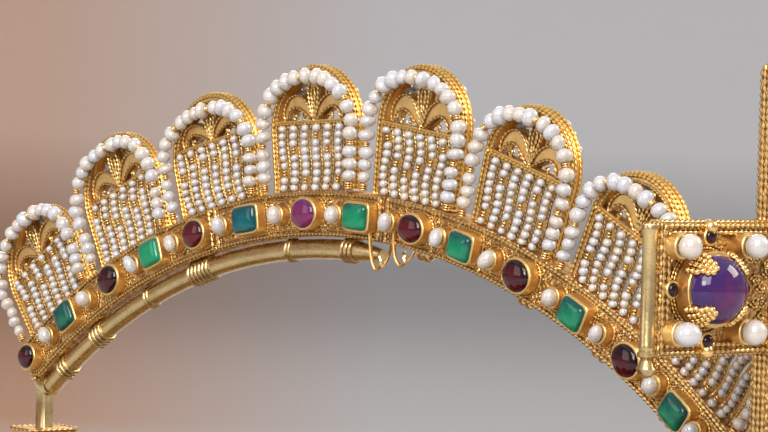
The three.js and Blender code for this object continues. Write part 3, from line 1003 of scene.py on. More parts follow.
def add_frame(lunette, sheets, rims, edge_wires, thin_wires):
    """The rim, its bar and the flat frames on both faces."""
    middle = lunette.face(1)
    add_ribbon(rims, middle.points(lunette.outline(0.4), 0), middle.axes[2], LUNETTE_HALF - 0.2, 0.3)
    for x in (-0.95, -0.2, 0.95):
        edge_wires.append(middle.points(lunette.outline(-0.05, 26), x))
    for side in SIDES:
        face = lunette.face(side)
        add_flat_frame(sheets, face, lunette)
        edge_wires.append(face.points(lunette.outline(0.4), LUNETTE_HALF - 0.1))
        thin_wires.append(face.points(lunette.outline(1.45), LUNETTE_HALF - 0.1))
        reach = lunette.half_at(LUNETTE_BAR, 0.9)
        ends = [face.point(-reach, LUNETTE_BAR, 1.05), face.point(reach, LUNETTE_BAR, 1.05)]
        add_ribbon(sheets, ends, face.axes[1], 0.6, 0.25)
        edge_wires.append([face.point(-reach, LUNETTE_BAR, 1.5), face.point(reach, LUNETTE_BAR, 1.5)])


def add_flat_frame(sheets, face, lunette):
    """The flat strip round one face of a lunette."""
    rings = []
    low, high = LUNETTE_HALF - 0.6, LUNETTE_HALF - 0.2
    for (u, v), (u2, v2) in zip(lunette.outline(0.05), lunette.outline(1.75)):
        rings.append(np.array([face.point(u, v, low), face.point(u, v, high),
                               face.point(u2, v2, high), face.point(u2, v2, low)]))
    sheets.loft(rings)


# The strips that the strokes' seed pearls lie on.
STROKE_HALF = 0.55
STROKE_LEVEL = 0.95
STROKE_SEED = 40


def stroke_lines(lunette):
    """Abstract strokes side by side across the field, all with the same lean and bend."""
    chance = random.Random(STROKE_SEED + lunette.index)
    low, high = lunette.foot_up + 0.1, LUNETTE_BAR - 0.2
    hand = 1 if lunette.index % 2 else -1
    lean = hand * chance.uniform(0.7, 1.7)
    bow = chance.uniform(-0.6, 0.6)
    wave = hand * chance.uniform(0.3, 0.7)
    lines = []
    for i in range(STROKES):
        place = (2 * i + 1) / STROKES - 1
        line = []
        for share in np.linspace(0, 1, 13):
            v = low + (high - low) * share
            turn = math.pi * share
            bend = lean * (share - 0.5) + bow * math.sin(turn) + wave * math.sin(2 * turn)
            line.append((place * lunette.half_at(v, 2.0) + bend, v))
        lines.append(line)
    return lines


# What hangs on a string: kind, count, girth and the length taken.
FERRULE, COIL = ("rings", 3, 1.7, 1.5), ("rings", 2, 1.6, 0.95)
# How many pearls hang between the coils round a head, at the least.
HEAD_RUNS = ((2, 4, 3, 3), (3, 4, 4, 2), (2, 3, 4, 3), (3, 3, 4, 2))


def string_plan(lunette, side, length, big, small):
    """What hangs on a string in order: kind, count, size and length of each."""
    column = [FERRULE, ("pearls", 3, small, small * 0.8), COIL]
    single = [FERRULE, ("pearls", 6, small * 0.9, small * 0.82), COIL]
    start = single if lunette.index == 0 else column
    stop = single if lunette.index == len(LUNETTE_TOPS) - 1 else column
    if side == 1:
        start, stop = stop, start
    taken = sum(part[3] * (part[1] if part[0] == "pearls" else 1) for part in start + stop)
    runs = list(HEAD_RUNS[(lunette.index + side) % len(HEAD_RUNS)])
    free = length - taken - (len(runs) - 1) * COIL[3]
    for k in range(max(0, round(free / (big * 0.82)) - sum(runs))):
        runs[k % len(runs)] += 1
    head = []
    for run in runs:
        head += [("pearls", run, big, free / sum(runs)), COIL]
    return start + head[:-1] + stop[::-1]


def add_string(lunette, side, pearls, rings, sizes):
    """One string on a lunette: pearls up each side and in runs round the head."""
    face = lunette.face(side)
    big, small = sizes.rim_pearl / MM, sizes.column_pearl / MM
    out, lift = (0.85, 0.5) if side == -1 else (-2.2, 0.22)
    string = face.points(lunette.string(out), LUNETTE_HALF + big * lift)
    at = 0.0
    for kind, count, size, length in string_plan(lunette, side, line_length(string), big, small):
        if kind == "rings":
            (point, direction), = along_line(string, at + length / 2, 1, 1)
            rings.add_rings(point, direction, size, count, length / (count + 0.4), 1.25)
            at += length
            continue
        for point, direction in along_line(string, at + length / 2, length, count):
            sway = face.axes[2] * pearls.chance.uniform(-0.3, 0.3)
            pearls.add_pearl(point + sway, direction, size, length * 0.98)
        at += length * count


def add_seeds(face, line, seeds, rings, size, chance):
    """Seed pearls along a stroke with a ribbed gold bead somewhere in the row."""
    string = face.points(line, STROKE_LEVEL + 0.4 + size * 0.45)
    count = max(2, round(line_length(string) / size / 0.93))
    pitch = line_length(string) / count
    spacer = chance.randrange(1, count - 1) if count > 4 else -1
    for i, (point, direction) in enumerate(along_line(string, pitch / 2, pitch, count)):
        if i == spacer:
            rings.add_rings(point, direction, 1.2, 2, 0.55, 1.1)
        else:
            seeds.add_pearl(point, direction, size * 1.04, pitch)


def build_lunettes(scene):
    """Rims, bars, palmettes and stroke strips of the eight lunettes."""
    sizes, mats = scene.crown_sizes, finishes(scene)
    edge_wires, thin_wires, palmette_wires, rims = [], [], [], Piece()
    for index in range(len(LUNETTE_TOPS)):
        lunette = Lunette(index)
        sheets = Piece()
        add_frame(lunette, sheets, rims, edge_wires, thin_wires)
        for side in SIDES:
            face = lunette.face(side)
            add_palmette(lunette, side, sheets, palmette_wires)
            for line in stroke_lines(lunette):
                flat = np.array(line)
                add_ribbon(sheets, face.points(flat, STROKE_LEVEL), face.axes[0], STROKE_HALF, 0.18)
                for hand in SIDES:
                    thin_wires.append(face.points(flat + [hand * STROKE_HALF, 0], STROKE_LEVEL + 0.2))
        sheets.finish(f"lunette_frame_{index + 1}", mats["gold"], "gold", [f"lunette_{index + 1}"])
    # The rims and their edge wires take the rim finish, which paints light on them.
    rims.finish("lunette_rims", mats["rim"], "gold")
    wire_piece("lunette_edge_wires", edge_wires, sizes.edge_wire * 0.9, sides=5, material="rim", pitch=0.001)
    wire_piece("lunette_thin_wires", thin_wires, sizes.fine_wire, sides=4, pitch=0.00078)
    wire_piece("palmette_wires", palmette_wires, sizes.fine_wire * 1.3, sides=4, pitch=0.0009)


def build_strings(scene):
    """Pearls round the heads, down the sides and along the strokes."""
    sizes = scene.crown_sizes
    pearls, seeds, rings = (Scatter(sizes.seed + k) for k in (1, 2, 3))
    chance = random.Random(sizes.seed)
    for index in range(len(LUNETTE_TOPS)):
        lunette = Lunette(index)
        for side in SIDES:
            add_string(lunette, side, pearls, rings, sizes)
            for line in stroke_lines(lunette):
                add_seeds(lunette.face(side), line, seeds, rings, sizes.seed_pearl / MM, chance)
    finish_pearls(pearls, "lunette_pearls", unevenness=0.0007, segments=14)
    finish_pearls(seeds, "seed_pearls", unevenness=0.0003, segments=8)
    finish_rings(rings, "ribbed_beads")


# ------------------------------------------------ rod, posts and sockets

# Where the rod's ring clusters sit, and how many rings each has.
RING_CLUSTERS = ((53.2, 3), (58.6, 4), (73.0, 6), (90.8, 3))
RING_PAIRS = (84.0, 66.0)
RING_SEED = 5


def add_rod_rings(rings, at, count, grow, pitch, height):
    """A sleeve of rings round the rod at an angle."""
    face = arch_face(at, 1, ROD_ARC, ROD_SHIFT)
    rings.add_rings(face.origin, face.axes[0], 2 * ROD_RADIUS + grow, count, pitch, height)


def build_rod(scene):
    """The bow rod below the back half of the band, with its rings."""
    rod, rings = Piece(), Scatter(RING_SEED)
    start, stop = ROD_ENDS
    turns = np.linspace(start, stop, int(stop - start) + 1)
    line = [arch_face(t, 1, ROD_ARC, ROD_SHIFT).origin for t in turns]
    from_tip = np.arange(len(line))[::-1]
    add_tube(rod, line, ROD_RADIUS * np.sqrt(np.clip((from_tip + 1) / 4, 0, 1)), 14)
    rod.finish("bow_rod", finishes(scene)["pale_gold"], "pale_gold", ["arch_rod"])
    for at, count in RING_CLUSTERS:
        add_rod_rings(rings, at, count, 1.1, 1.15, 7)
    for at in RING_PAIRS:
        add_rod_rings(rings, at, 2, 0.8, 1.0, 6.4)
    finish_rings(rings, "rod_rings", "pale_gold", share=0.16)


def square(half_x, half_y, z, y):
    """A small rectangle with cut corners at a height, as eight points."""
    cut = 0.22 * min(half_x, half_y)
    near, far = y - half_y, y + half_y
    return np.array([
        (half_x, near + cut, z), (half_x, far - cut, z), (half_x - cut, far, z), (cut - half_x, far, z),
        (-half_x, far - cut, z), (-half_x, near + cut, z), (cut - half_x, near, z), (half_x - cut, near, z),
    ])


def add_moulded(piece, y, rows):
    """An upright moulded block; rows hold height, half widths across and deep, and a wire or not."""
    rings = [square(half_x, half_y, z, y) for z, half_x, half_y, _ in rows]
    piece.loft(rings)
    return [np.vstack([ring, ring[:1]]) for ring, row in zip(rings, rows) if row[3]]


def mouldings(low, high, half_x, half_y, count, swell):
    """Rows of rounded mouldings between two heights."""
    rows = []
    step = (high - low) / count
    for i in range(count):
        z = low + i * step
        rows += [
            (z + 0.02, half_x, half_y, False),
            (z + step * 0.25, half_x + swell, half_y + swell, True),
            (z + step * 0.5, half_x + swell * 0.4, half_y + swell * 0.4, False),
            (z + step * 0.98, half_x, half_y, False),
        ]
    return rows


BACK_SOCKET = (
    (104, 3.4, 3.4, False), (105, 4.2, 4.2, True),
    *mouldings(106, 124, 3.4, 3.8, 4, 0.5),
    (125, 5.6, 4.2, True), (126.8, 5.9, 4.5, True), (128, 4.4, 3.6, False),
    *mouldings(128.4, 137.4, 4.4, 3.5, 3, 0.55),
    (138.4, 5.6, 4.2, True), (141.2, 5.8, 4.4, True), (141.4, 5.2, 4, False),
)
FRONT_SOCKET = (
    (104, 3.4, 3.4, False), (105, 4, 4, True),
    *mouldings(106, 134, 3.4, 3.6, 6, 0.45),
    (135.5, 4, 4, True), (136, 3.6, 3.6, False),
)
CROSS_BLOCK = ((119, 6.8, 1.5, False), *mouldings(119.5, 140.5, 7.2, 1.2, 5, 0.5), (141, 6.8, 1.2, False))


def add_posts(posts):
    """A post below each end of the band, and the bracket that joins rod, band and back post."""
    for y in (BACK_POST, FRONT_POST):
        reach = abs(y - ARCH_MIDDLE[1]) + 1.4
        under = ARCH_MIDDLE[2] + math.sqrt(BAND_INNER ** 2 - reach ** 2) - 0.4
        rows = ((108, 1.15), (under - 0.8, 1.15), (under, 1.5))
        add_moulded(posts, y, [(z, half, half, False) for z, half in rows])
    band_end = arch_face(49.4, 1, BAND_CENTRE - 1.2).origin
    rod_end = arch_face(ROD_ENDS[0], 1, ROD_ARC, ROD_SHIFT).origin
    add_tube(posts, smooth_line([rod_end, (band_end + rod_end) / 2 + [0, 0, -1.2], band_end]), 2.05, 14)
    top = band_end[2] - 1.5
    rows = ((141, 1.7, 1.7), (141.5, 1.35, 1.5), (top - 2, 1.35, 1.5), (top, 1.9, 1.9))
    add_moulded(posts, BACK_POST, [(*row, False) for row in rows])


def add_ties(piece, y, side, levels):
    """Round ties from a socket to its plate, and the wire rings where they meet it."""
    wires = []
    wall = side * CIRCLET_HALF + BACK
    for z in levels:
        add_tube(piece, [(0, y + side * 2, z), (0, wall - side * 1.9, z)], 2.0, 10)
        place = Face((0, wall - side * 2.4, z), (1, 0, 0), (0, 0, 1), (0, 1, 0))
        wires.append(ring_line(place, "oval", 2.5, 2.5, 0))
    return wires


def build_sockets(scene):
    """The posts, the moulded sockets that hold them and the block behind the cross."""
    mats = finishes(scene)
    posts, back, front, block = Piece(), Piece(), Piece(), Piece()
    add_posts(posts)
    wires = add_moulded(back, BACK_POST, BACK_SOCKET)
    wires += add_moulded(front, FRONT_POST, FRONT_SOCKET)
    wires += add_ties(back, BACK_POST, 1, (108, 118, 122))
    wires += add_ties(front, FRONT_POST, -1, (108, 118, 128))
    wires += add_moulded(block, CROSS_FACE + CROSS_THICK + 2.0, CROSS_BLOCK)
    posts.finish("socket_posts", mats["pale_gold"], "pale_gold", ["back_post", "front_post"])
    for name, piece in (("back_socket", back), ("front_socket", front), ("cross_socket", block)):
        piece.finish(f"{name}_work", mats["dark_gold"], "dark_gold", [name])
    wire_piece("socket_wires", wires, scene.crown_sizes.edge_wire, sides=5, pitch=0.0014)


# Where pairs of loops hang below the band's front length.
LUGS = (98.5, 109.5, 117.5, 125.0)
# A hook's straight shank, and its bend in shares of its drop below the band.
HOOK_SHANK = ((0, 4.5), (0.2, 1.0))
HOOK_BEND = ((1.1, -0.6), (2.6, -1.0), (3.6, -0.75), (3.2, -0.5))


def build_lugs(scene):
    """Loops below the band's front length and bent wire hooks at its joint."""
    lugs = Piece()
    turns = np.linspace(0, math.pi, 11)
    for at in LUGS:
        face = arch_face(at, 1, BAND_INNER)
        for across in (-0.9, 0.9):
            loop = [face.point(across, 0.4 - 1.9 * math.sin(a), 1.25 * math.cos(a)) for a in turns]
            add_tube(lugs, loop, 0.42, 8)
    for side in SIDES:
        for from_joint, drop in ((-1.2, 5.0), (1.4, 3.2)):
            face = arch_face(JOINTS[1] + from_joint, side, BAND_INNER, BAND_HALF + 0.4)
            bend = [(u, v * drop) for u, v in HOOK_BEND]
            add_tube(lugs, face.points(smooth_line([*HOOK_SHANK, *bend])), 0.36, 7)
    lugs.finish("lugs_and_hooks", finishes(scene)["wire"], "gold")


# ---------------------------------------------------------------- filigree


def filigree(face, spots, size, h, seed=0):
    """Curls at spots, turning by quarter turns from one to the next."""
    return [curl(face, u, v, size, 90 * ((i + seed) % 4) + 45, 1 if (i + seed) % 2 else -1, h)
            for i, (u, v) in enumerate(spots)]


def free_spots(width, low, high, step, allowed, taken):
    """Spots in offset rows where a curl is allowed and clear of taken circles."""
    spots = []
    for row, v in enumerate(np.arange(low, high, step * 0.87)):
        shift = step / 2 * (row % 2)
        for u in np.arange(-width, width + 0.1, step):
            spot = (u + shift, v)
            if allowed(*spot) and all(math.dist(spot, (x, z)) > r + step * 0.36 for x, z, r in taken):
                spots.append(spot)
    return spots


# -------------------------------------------------------------------- cross

# The cross's large stones: stone, across, up, half sizes, lightness.
CROSS_STONES = (
    ("amethyst", -28.6, 183, 5.9, 5.5, 0.1),
    ("amethyst", 28.6, 183, 5.9, 5.5, 0.05),
    ("amethyst", 0, 183, 8.2, 6.6, 0.0),
    ("emerald", 0, 206, 5.4, 6.2, 0.3),
    ("garnet", 0, 156, 5.4, 6.2, 0.3),
    ("emerald", 0, 132, 5.0, 5.0, 0.5),
)
STONE_NODES = {"amethyst": ("left", "right", "middle"), "emerald": ("top", "lowest"), "garnet": ("foot",)}
# Round garnets on the cross's rear face: across, up and half size.
CROSS_REAR = ((0, 183, 4.2), (-27, 183, 2.8), (27, 183, 2.8), (0, 206, 2.8), (0, 160, 2.8))
# A claw's rows of grains: share of the stone's half size, height and count.
CLAW_ROWS = ((1.13, 2.2, 4), (1.1, 3.0, 4), (1.04, 3.7, 4), (0.97, 4.3, 3), (0.89, 5.0, 3), (0.81, 5.5, 2))
# The settings of the front stand on a ground this far below its edge wires.
CROSS_GROUND = -0.7
GRAIN_SEED = 8


def cross_plan(inset):
    """The cross's outline, inset from its edge."""
    shaft, reach = CROSS_SHAFT_HALF - inset, CROSS_REACH - inset
    high, low = CROSS_ARM + CROSS_ARM_HALF - inset, CROSS_ARM - CROSS_ARM_HALF + inset
    bottom, top = CROSS_BOTTOM + inset, CROSS_TOP - inset
    right = [(shaft, bottom), (shaft, low), (reach, low), (reach, high), (shaft, high), (shaft, top)]
    return right + [(-x, z) for x, z in reversed(right)]


def in_cross(u, v, inset=3.1):
    """Whether a spot lies inside the cross by an inset."""
    shaft = abs(u) < CROSS_SHAFT_HALF - inset and CROSS_BOTTOM + inset < v < CROSS_TOP - inset
    return shaft or (abs(u) < CROSS_REACH - inset and abs(v - CROSS_ARM) < CROSS_ARM_HALF - inset)


class CrossWork:
    """What the cross carries, gathered until all of it is in place."""

    def __init__(self, seed):
        self.face = Face((0, CROSS_FACE, 0), (1, 0, 0), (0, 0, 1), (0, -1, 0))
        self.rear = Face((0, CROSS_FACE + CROSS_THICK, 0), (-1, 0, 0), (0, 0, 1), (0, 1, 0))
        self.collets, self.small_garnets = Piece(), Piece()
        self.stones = {slot: Piece() for slot in STONE_NODES}
        self.pearls, self.grains = Scatter(seed), Scatter(GRAIN_SEED)
        self.filigree, self.taken = [], []

    def add_large_stone(self, slot, x, z, half_x, half_z, tint):
        """A large stone in its collet, with wire rings round it."""
        place = self.face.at(x, z, CROSS_GROUND)
        add_collet(self.collets, place, "oval", half_x, half_z, 3.0, 0.5)
        add_stone(self.stones[slot], place, "oval", half_x, half_z, 2.9, 4.1, tint)
        for grow in (0.9, 1.5):
            self.filigree.append(ring_line(self.face.at(x, z), "oval", half_x + grow, half_z + grow, -0.55))
        self.taken.append((x, z, max(half_x, half_z) + 0.8))

    def add_claws_and_pearls(self, x, z, half_x, half_z):
        """A claw at each corner of a large stone, and a pearl beyond it where there is room."""
        aside = 7.6 if x else 10.6 if z == CROSS_ARM else 8.3
        for turn, across, up in ((45, 1, 1), (135, -1, 1), (225, -1, -1), (315, 1, -1)):
            add_claw(self.grains, self.face.at(x, z, CROSS_GROUND), half_x, half_z, turn)
            spot = (x + aside * across, z + 6.7 * up)
            if in_cross(*spot, 2.0) and all(math.dist(spot, held[:2]) > 3.5 for held in self.taken):
                self.taken.append((*spot, 2.3))
                add_collet(self.collets, self.face.at(*spot, CROSS_GROUND), "oval", 1.75, 1.75, 3.0, 0.3)
                self.pearls.add_pearl(self.face.point(*spot, 3.6), self.face.axes[1], 4.1, 4.0)

    def add_small_garnets(self, x, z, half_x, half_z):
        """Small garnets above, below and beside a large stone where there is room."""
        half = 1.15
        for du, dv in ((0, half_z + 2.6), (0, -half_z - 2.6), (half_x + 2.2, 0), (-half_x - 2.2, 0)):
            spot = (x + du, z + dv)
            if in_cross(*spot, 1.7) and all(math.dist(spot, held[:2]) > held[2] + 0.6 for held in self.taken):
                self.taken.append((*spot, 1.8))
                place = self.face.at(*spot, CROSS_GROUND)
                add_collet(self.collets, place, "oval", half, half, 1.5, 0.3)
                add_stone(self.small_garnets, place, "oval", half, half, 1.5, 0.7, 0.0)

    def add_knobs(self):
        """Large grains along the edge beside the arms' pearls and at the shaft's ends."""
        high, low = CROSS_ARM + CROSS_ARM_HALF - 0.6, CROSS_ARM - CROSS_ARM_HALF + 0.6
        places = [(x, z) for z in (high, low) for x in (28.5, 13.4)]
        for x, z in (*places, (12.4, CROSS_TOP - 0.8), (12.4, CROSS_BOTTOM + 1)):
            for hand in SIDES:
                self.grains.add(self.face.point(hand * x, z, 0.4), self.face.axes[2], 2.7, 2.7)

    def add_rear_garnets(self):
        """Round garnets on the rear face, each with two wire rings."""
        for x, z, half in CROSS_REAR:
            place = self.rear.at(x, z)
            add_collet(self.collets, place, "oval", half, half, 1.6, 0.5)
            add_stone(self.small_garnets, place, "oval", half, half, 1.5, 1.2, 0.3)
            for grow in (1.3, 2.1):
                self.filigree.append(ring_line(place, "oval", half + grow, half + grow, 0.25))

    def rear_scrolls(self):
        """Scrolls between the garnets of the rear face."""
        held = [(x, z, half + 2.4) for x, z, half in CROSS_REAR]
        spots = free_spots(36, CROSS_BOTTOM + 24, CROSS_TOP, 4.4, lambda u, v: in_cross(u, v, 5.2), held)
        return filigree(self.rear, spots, 1.65, 0.25)

    def edge_wires(self):
        """Wires round both faces and the sides."""
        front = ((0.45, 0), (1.5, 0), (-0.05, -1.0), (-0.05, -1.9), (-0.05, -2.8))
        lines = [closed_line(self.face, cross_plan(inset), h) for inset, h in front]
        return lines + [closed_line(self.rear, cross_plan(inset), 0.1) for inset in (0.6, 3.2)]


def add_claw(grains, face, half_u, half_v, turn):
    """A granulated claw that hugs a stone's edge."""
    for inward, height, count in CLAW_ROWS:
        for k in range(count):
            a = math.radians(turn) + (k - (count - 1) / 2) * 1.05 / half_u
            u, v = half_u * inward * math.cos(a), half_v * inward * math.sin(a)
            grains.add(face.point(u, v, height), face.axes[2], 1.25, 1.25)


def build_cross(scene):
    """The standing cross with its stones, pearls, claws and wires."""
    sizes, mats = scene.crown_sizes, finishes(scene)
    work, body = CrossWork(sizes.seed + 5), Piece()
    steps = ((0.3, -CROSS_THICK), (0, -CROSS_THICK + 0.3), (0, -0.4), (0.2, -0.15), (1.6, -0.15), (1.9, -0.8))
    body.loft([work.face.points(cross_plan(inset), h) for inset, h in steps])
    for slot, x, z, half_x, half_z, tint in CROSS_STONES:
        work.add_large_stone(slot, x, z, half_x, half_z, tint)
        work.add_claws_and_pearls(x, z, half_x, half_z)
        work.add_small_garnets(x, z, half_x, half_z)
    work.add_knobs()
    spots = free_spots(36, CROSS_BOTTOM, CROSS_TOP, 2.7, in_cross, work.taken)
    work.filigree += filigree(work.face, spots, 0.95, -0.55)
    work.add_rear_garnets()
    body.finish("cross_body", mats["panel"], "gold", ["cross"])
    wire_piece("cross_rear_scrolls", work.rear_scrolls(), sizes.edge_wire, sides=4, pitch=0.0013)
    work.collets.finish("cross_collets", mats["gold"], "gold")
    for slot, piece in work.stones.items():
        piece.finish(f"cross_{slot}s", mats[slot], slot, [f"cross_stone_{end}" for end in STONE_NODES[slot]])
    work.small_garnets.finish("cross_small_garnets", mats["garnet"], "garnet")
    wire_piece("cross_edge_wires", work.edge_wires(), sizes.edge_wire, sides=5, pitch=0.00115)
    wire_piece("cross_filigree", work.filigree, sizes.fine_wire, sides=4, pitch=0.0007)
    finish_pearls(work.pearls, "cross_pearls", unevenness=0.0004, segments=14)
    grain = {"Unevenness": 0.0001, "Segments": 6, "Rings": 4}
    work.grains.finish("cross_granules", "pearl", grain, mats["wire"], "gold")
    for name, side in zip(("left", "right"), SIDES):
        add_end_rod(name, side, mats["pale_gold"])


# An end rod's profile: height and radius.
END_ROD = (
    (169.4, 0.4), (169.9, 1.2), (170.8, 1.6), (171.8, 1.1), (172.3, 0.8),
    (172.7, 1.45), (173.3, 1.45), (173.6, 1.15), (174, 1.3), (174.4, 1.2),
    (191.4, 1.2), (191.8, 1.3), (192.2, 1.4), (192.8, 1.3), (193, 0.6),
)


def add_end_rod(name, side, metal):
    """The turned rod that closes one of the cross's arms."""
    rod = Piece()
    x, y = side * (CROSS_REACH + 1.2), CROSS_FACE + 1.5
    rod.loft([lathe_ring(x, y, z, radius, 12) for z, radius in END_ROD])
    rod.finish(f"cross_end_rod_{name}", metal, "pale_gold", [f"cross_rod_{name}"])


def lathe_ring(x, y, z, radius, sides):
    """A level ring of points about an upright axis."""
    turn = np.linspace(0, 2 * math.pi, sides, endpoint=False)
    return np.column_stack([x + radius * np.cos(turn), y + radius * np.sin(turn), np.full(sides, z)])


# ------------------------------------------------------------------ circlet

PLATE_STONES = ("emerald", "amethyst", "garnet", "teal_stone")
SQUARE_STONES = ("emerald", "teal_stone")
LARGE_STONE, SMALL_STONE = (6.9, 5.6), (5.0, 4.2)
ROW_PITCH = 18.6
# The sunk ground of a plate, where its settings stand.
PLATE_GROUND = 0.7


class Plate:
    """The plan of one plate: its outer face, its width and its height."""

    def __init__(self, index):
        (x0, y0), (x1, y1) = CORNERS[index], CORNERS[(index + 1) % len(CORNERS)]
        self.index = index
        self.name = PLATES[index]
        reach = math.dist((x0, y0), (x1, y1))
        across = np.array([x1 - x0, y1 - y0, 0]) / reach
        foot = ((x0 + x1) / 2, (y0 + y1) / 2 + BACK, 0)
        self.face = Face(foot, across, (0, 0, 1), np.cross(across, (0, 0, 1)))
        self.rear = Face(foot, -across, (0, 0, 1), -self.face.axes[2])
        self.width = reach - 2 * (PIN_BALL + GAP)
        self.height = FRONT_PLATE_HEIGHT if self.name == "front" else PLATE_HEIGHT
        self.spring = self.height - self.width / 2

    def outline(self, inset, steps=22):
        """The plate's outline with its round head, inset from its edge."""
        half = self.width / 2 - inset
        turn = np.linspace(0, math.pi, steps)
        head = [(half * math.cos(a), self.spring + half * math.sin(a)) for a in turn]
        return [(-half, inset), (half, inset), *head]

    def clear(self, u, v, inset):
        """Whether a spot lies inside the outline by an inset, and not behind the cross's foot."""
        half = self.width / 2 - inset
        if self.name == "front" and abs(u) < 17 and v > 104:
            return False
        return inset < v and abs(u) < half and (v < self.spring or math.hypot(u, v - self.spring) < half)

    def row(self, v):
        """Places across for a row of stones: fewer where the head is narrow."""
        half = self.width / 2 - 8
        if v > self.spring:
            half = math.sqrt(max(half * half - (v - self.spring) ** 2, 0))
        end = half - 6
        if half < 14:
            return [0]
        if half < 21:
            return [-8.6, 8.6]
        if half < 38:
            return [-end, 0, end]
        return [-end, -end / 2, 0, end / 2, end]

    def stones(self):
        """Places of stones in rows: across, up, half sizes, whether large."""
        found = []
        for count, v in enumerate(np.arange(16, self.height - 10, ROW_PITCH)):
            for u in self.row(v):
                large = (count % 2 == 0) == (u == 0)
                if self.clear(u, v, 9):
                    found.append((u, v, *(LARGE_STONE if large else SMALL_STONE), large))
        return found


class CircletWork:
    """What the plates carry, gathered over all eight of them."""

    def __init__(self, seed):
        self.collets = Piece()
        self.stones = {slot: Piece() for slot in PLATE_STONES}
        self.pearls, self.edge_pearls = Scatter(seed), Scatter(seed + 1)
        self.borders, self.filigree = [], []

    def add_edges(self, plate):
        """Border wires on both sides of a plate and a row of pearls round its front."""
        self.borders += [closed_line(plate.face, plate.outline(inset), 2.1) for inset in (0.85, 3.5)]
        self.borders += [closed_line(plate.rear, plate.outline(inset), 1.6) for inset in (1.4, 4.2)]
        edge = closed_line(plate.face, plate.outline(2.0), 2.6)
        length = line_length(edge)
        count = round(length / 4.2)
        for point, direction in along_line(edge, 0, length / count, count):
            self.edge_pearls.add(point, direction, 2.3, 2.3)

    def add_stones(self, plate):
        """Stones in collets, each with a wire ring in front and one behind; returns their circles."""
        taken = []
        for i, (u, v, half_u, half_v, large) in enumerate(plate.stones()):
            slot = PLATE_STONES[(i + 2 * plate.index + large) % len(PLATE_STONES)]
            form = "square" if slot in SQUARE_STONES else "oval"
            place = plate.face.at(u, v, PLATE_GROUND)
            add_collet(self.collets, place, form, half_u, half_v, 2.1, 0.45, 16)
            tint = self.pearls.chance.uniform(0, 0.7)
            add_stone(self.stones[slot], place, form, half_u, half_v, 2.0, 1.7, tint, 16)
            self.filigree.append(ring_line(place, form, half_u + 1.2, half_v + 1.2, 0.35))
            self.filigree.append(ring_line(plate.rear.at(-u, v), form, half_u - 0.6, half_v - 0.6, 1.65))
            taken.append((u, v, half_u + 1.0))
        return taken

    def add_pearls(self, plate, taken):
        """Pearls in collets about the stones where there is room."""
        for u, v, *_ in plate.stones():
            for du, dv in ((-9.3, 9.3), (9.3, 9.3), (0, 9.3), (-9.3, -9.3), (9.3, -9.3)):
                spot = (u + du, v + dv)
                if not plate.clear(*spot, 7) or any(math.dist(spot, p[:2]) <= p[2] + 2.8 for p in taken):
                    continue
                taken.append((*spot, 2.7))
                place = plate.face.at(*spot, PLATE_GROUND)
                add_collet(self.collets, place, "oval", 2.1, 2.1, 1.5, 0.3, 12)
                self.filigree.append(ring_line(place, "oval", 2.9, 2.9, 0.3, 14))
                self.pearls.add_pearl(place.point(0, 0, 2.3), place.axes[1], 4.5, 4.4)

    def add_scrolls(self, plate, taken):
        """Scrolls on the ground that stones and pearls leave free."""
        spots = free_spots(plate.width / 2, 0, plate.height, 5.4, lambda u, v: plate.clear(u, v, 6.2), taken)
        self.filigree += filigree(plate.face, spots, 2.0, 1.1, plate.index)


def add_plate_sheets(plate, mats):
    """A plate's sheet with a raised border, and its lining."""
    sheet, lining = Piece(), Piece()
    steps = ((0.3, -1.3), (0, -1), (0, 1.7), (0.3, 2.0), (3.6, 2.0), (3.9, 1.7), (4.0, PLATE_GROUND))
    sheet.loft([plate.face.points(plate.outline(inset), h) for inset, h in steps])
    sheet.finish(f"{plate.name}_sheet", mats["panel"], "gold", [f"{plate.name}_plate"])
    add_plate(lining, plate.rear, plate.outline(0.8), 1.25, 1.5)
    lining.finish(f"{plate.name}_lining", mats["inside"], "gold")


def build_plates(scene):
    """The eight jewelled plates of the circlet."""
    sizes, mats = scene.crown_sizes, finishes(scene)
    work = CircletWork(sizes.seed + 7)
    for index in range(len(PLATES)):
        plate = Plate(index)
        add_plate_sheets(plate, mats)
        work.add_edges(plate)
        taken = work.add_stones(plate)
        work.add_pearls(plate, taken)
        work.add_scrolls(plate, taken)
    for slot, piece in work.stones.items():
        piece.finish(f"plate_{slot}s", mats[slot], slot)
    work.collets.finish("plate_collets", mats["gold"], "gold")
    finish_pearls(work.pearls, "plate_pearls", unevenness=0.0004, segments=8)
    finish_pearls(work.edge_pearls, "plate_edge_pearls", unevenness=0.0001, segments=6)
    wire_piece("plate_borders", work.borders, 0.0014, sides=4, pitch=0.0024)
    half = len(work.filigree) // 2
    for name, lines in (("right", work.filigree[:half]), ("left", work.filigree[half:])):
        wire_piece(f"plate_filigree_{name}", lines, sizes.edge_wire, sides=4, pitch=0.0022)


# A hinge pin's profile, from the floor: height and radius of its foot, one knuckle and its head.
PIN_FOOT = ((0.1, 0.5), (0.7, 1.7), (1.9, 2.4), (3.1, 2.0), (3.9, 1.4))
KNUCKLE = (
    (0, 1.4), (0.1, 2.0), (0.7, 2.3), (1.3, 2.0), (1.6, 1.9), (4.0, 1.9),
    (4.4, 2.0), (5.0, 2.3), (5.6, 2.0), (5.7, 1.4), (10.9, 1.4),
)
PIN_HEAD = ((71.9, 1.4), (72.4, 2.0), (73.6, 2.4), (74.8, 1.8), (75.6, 0.7))


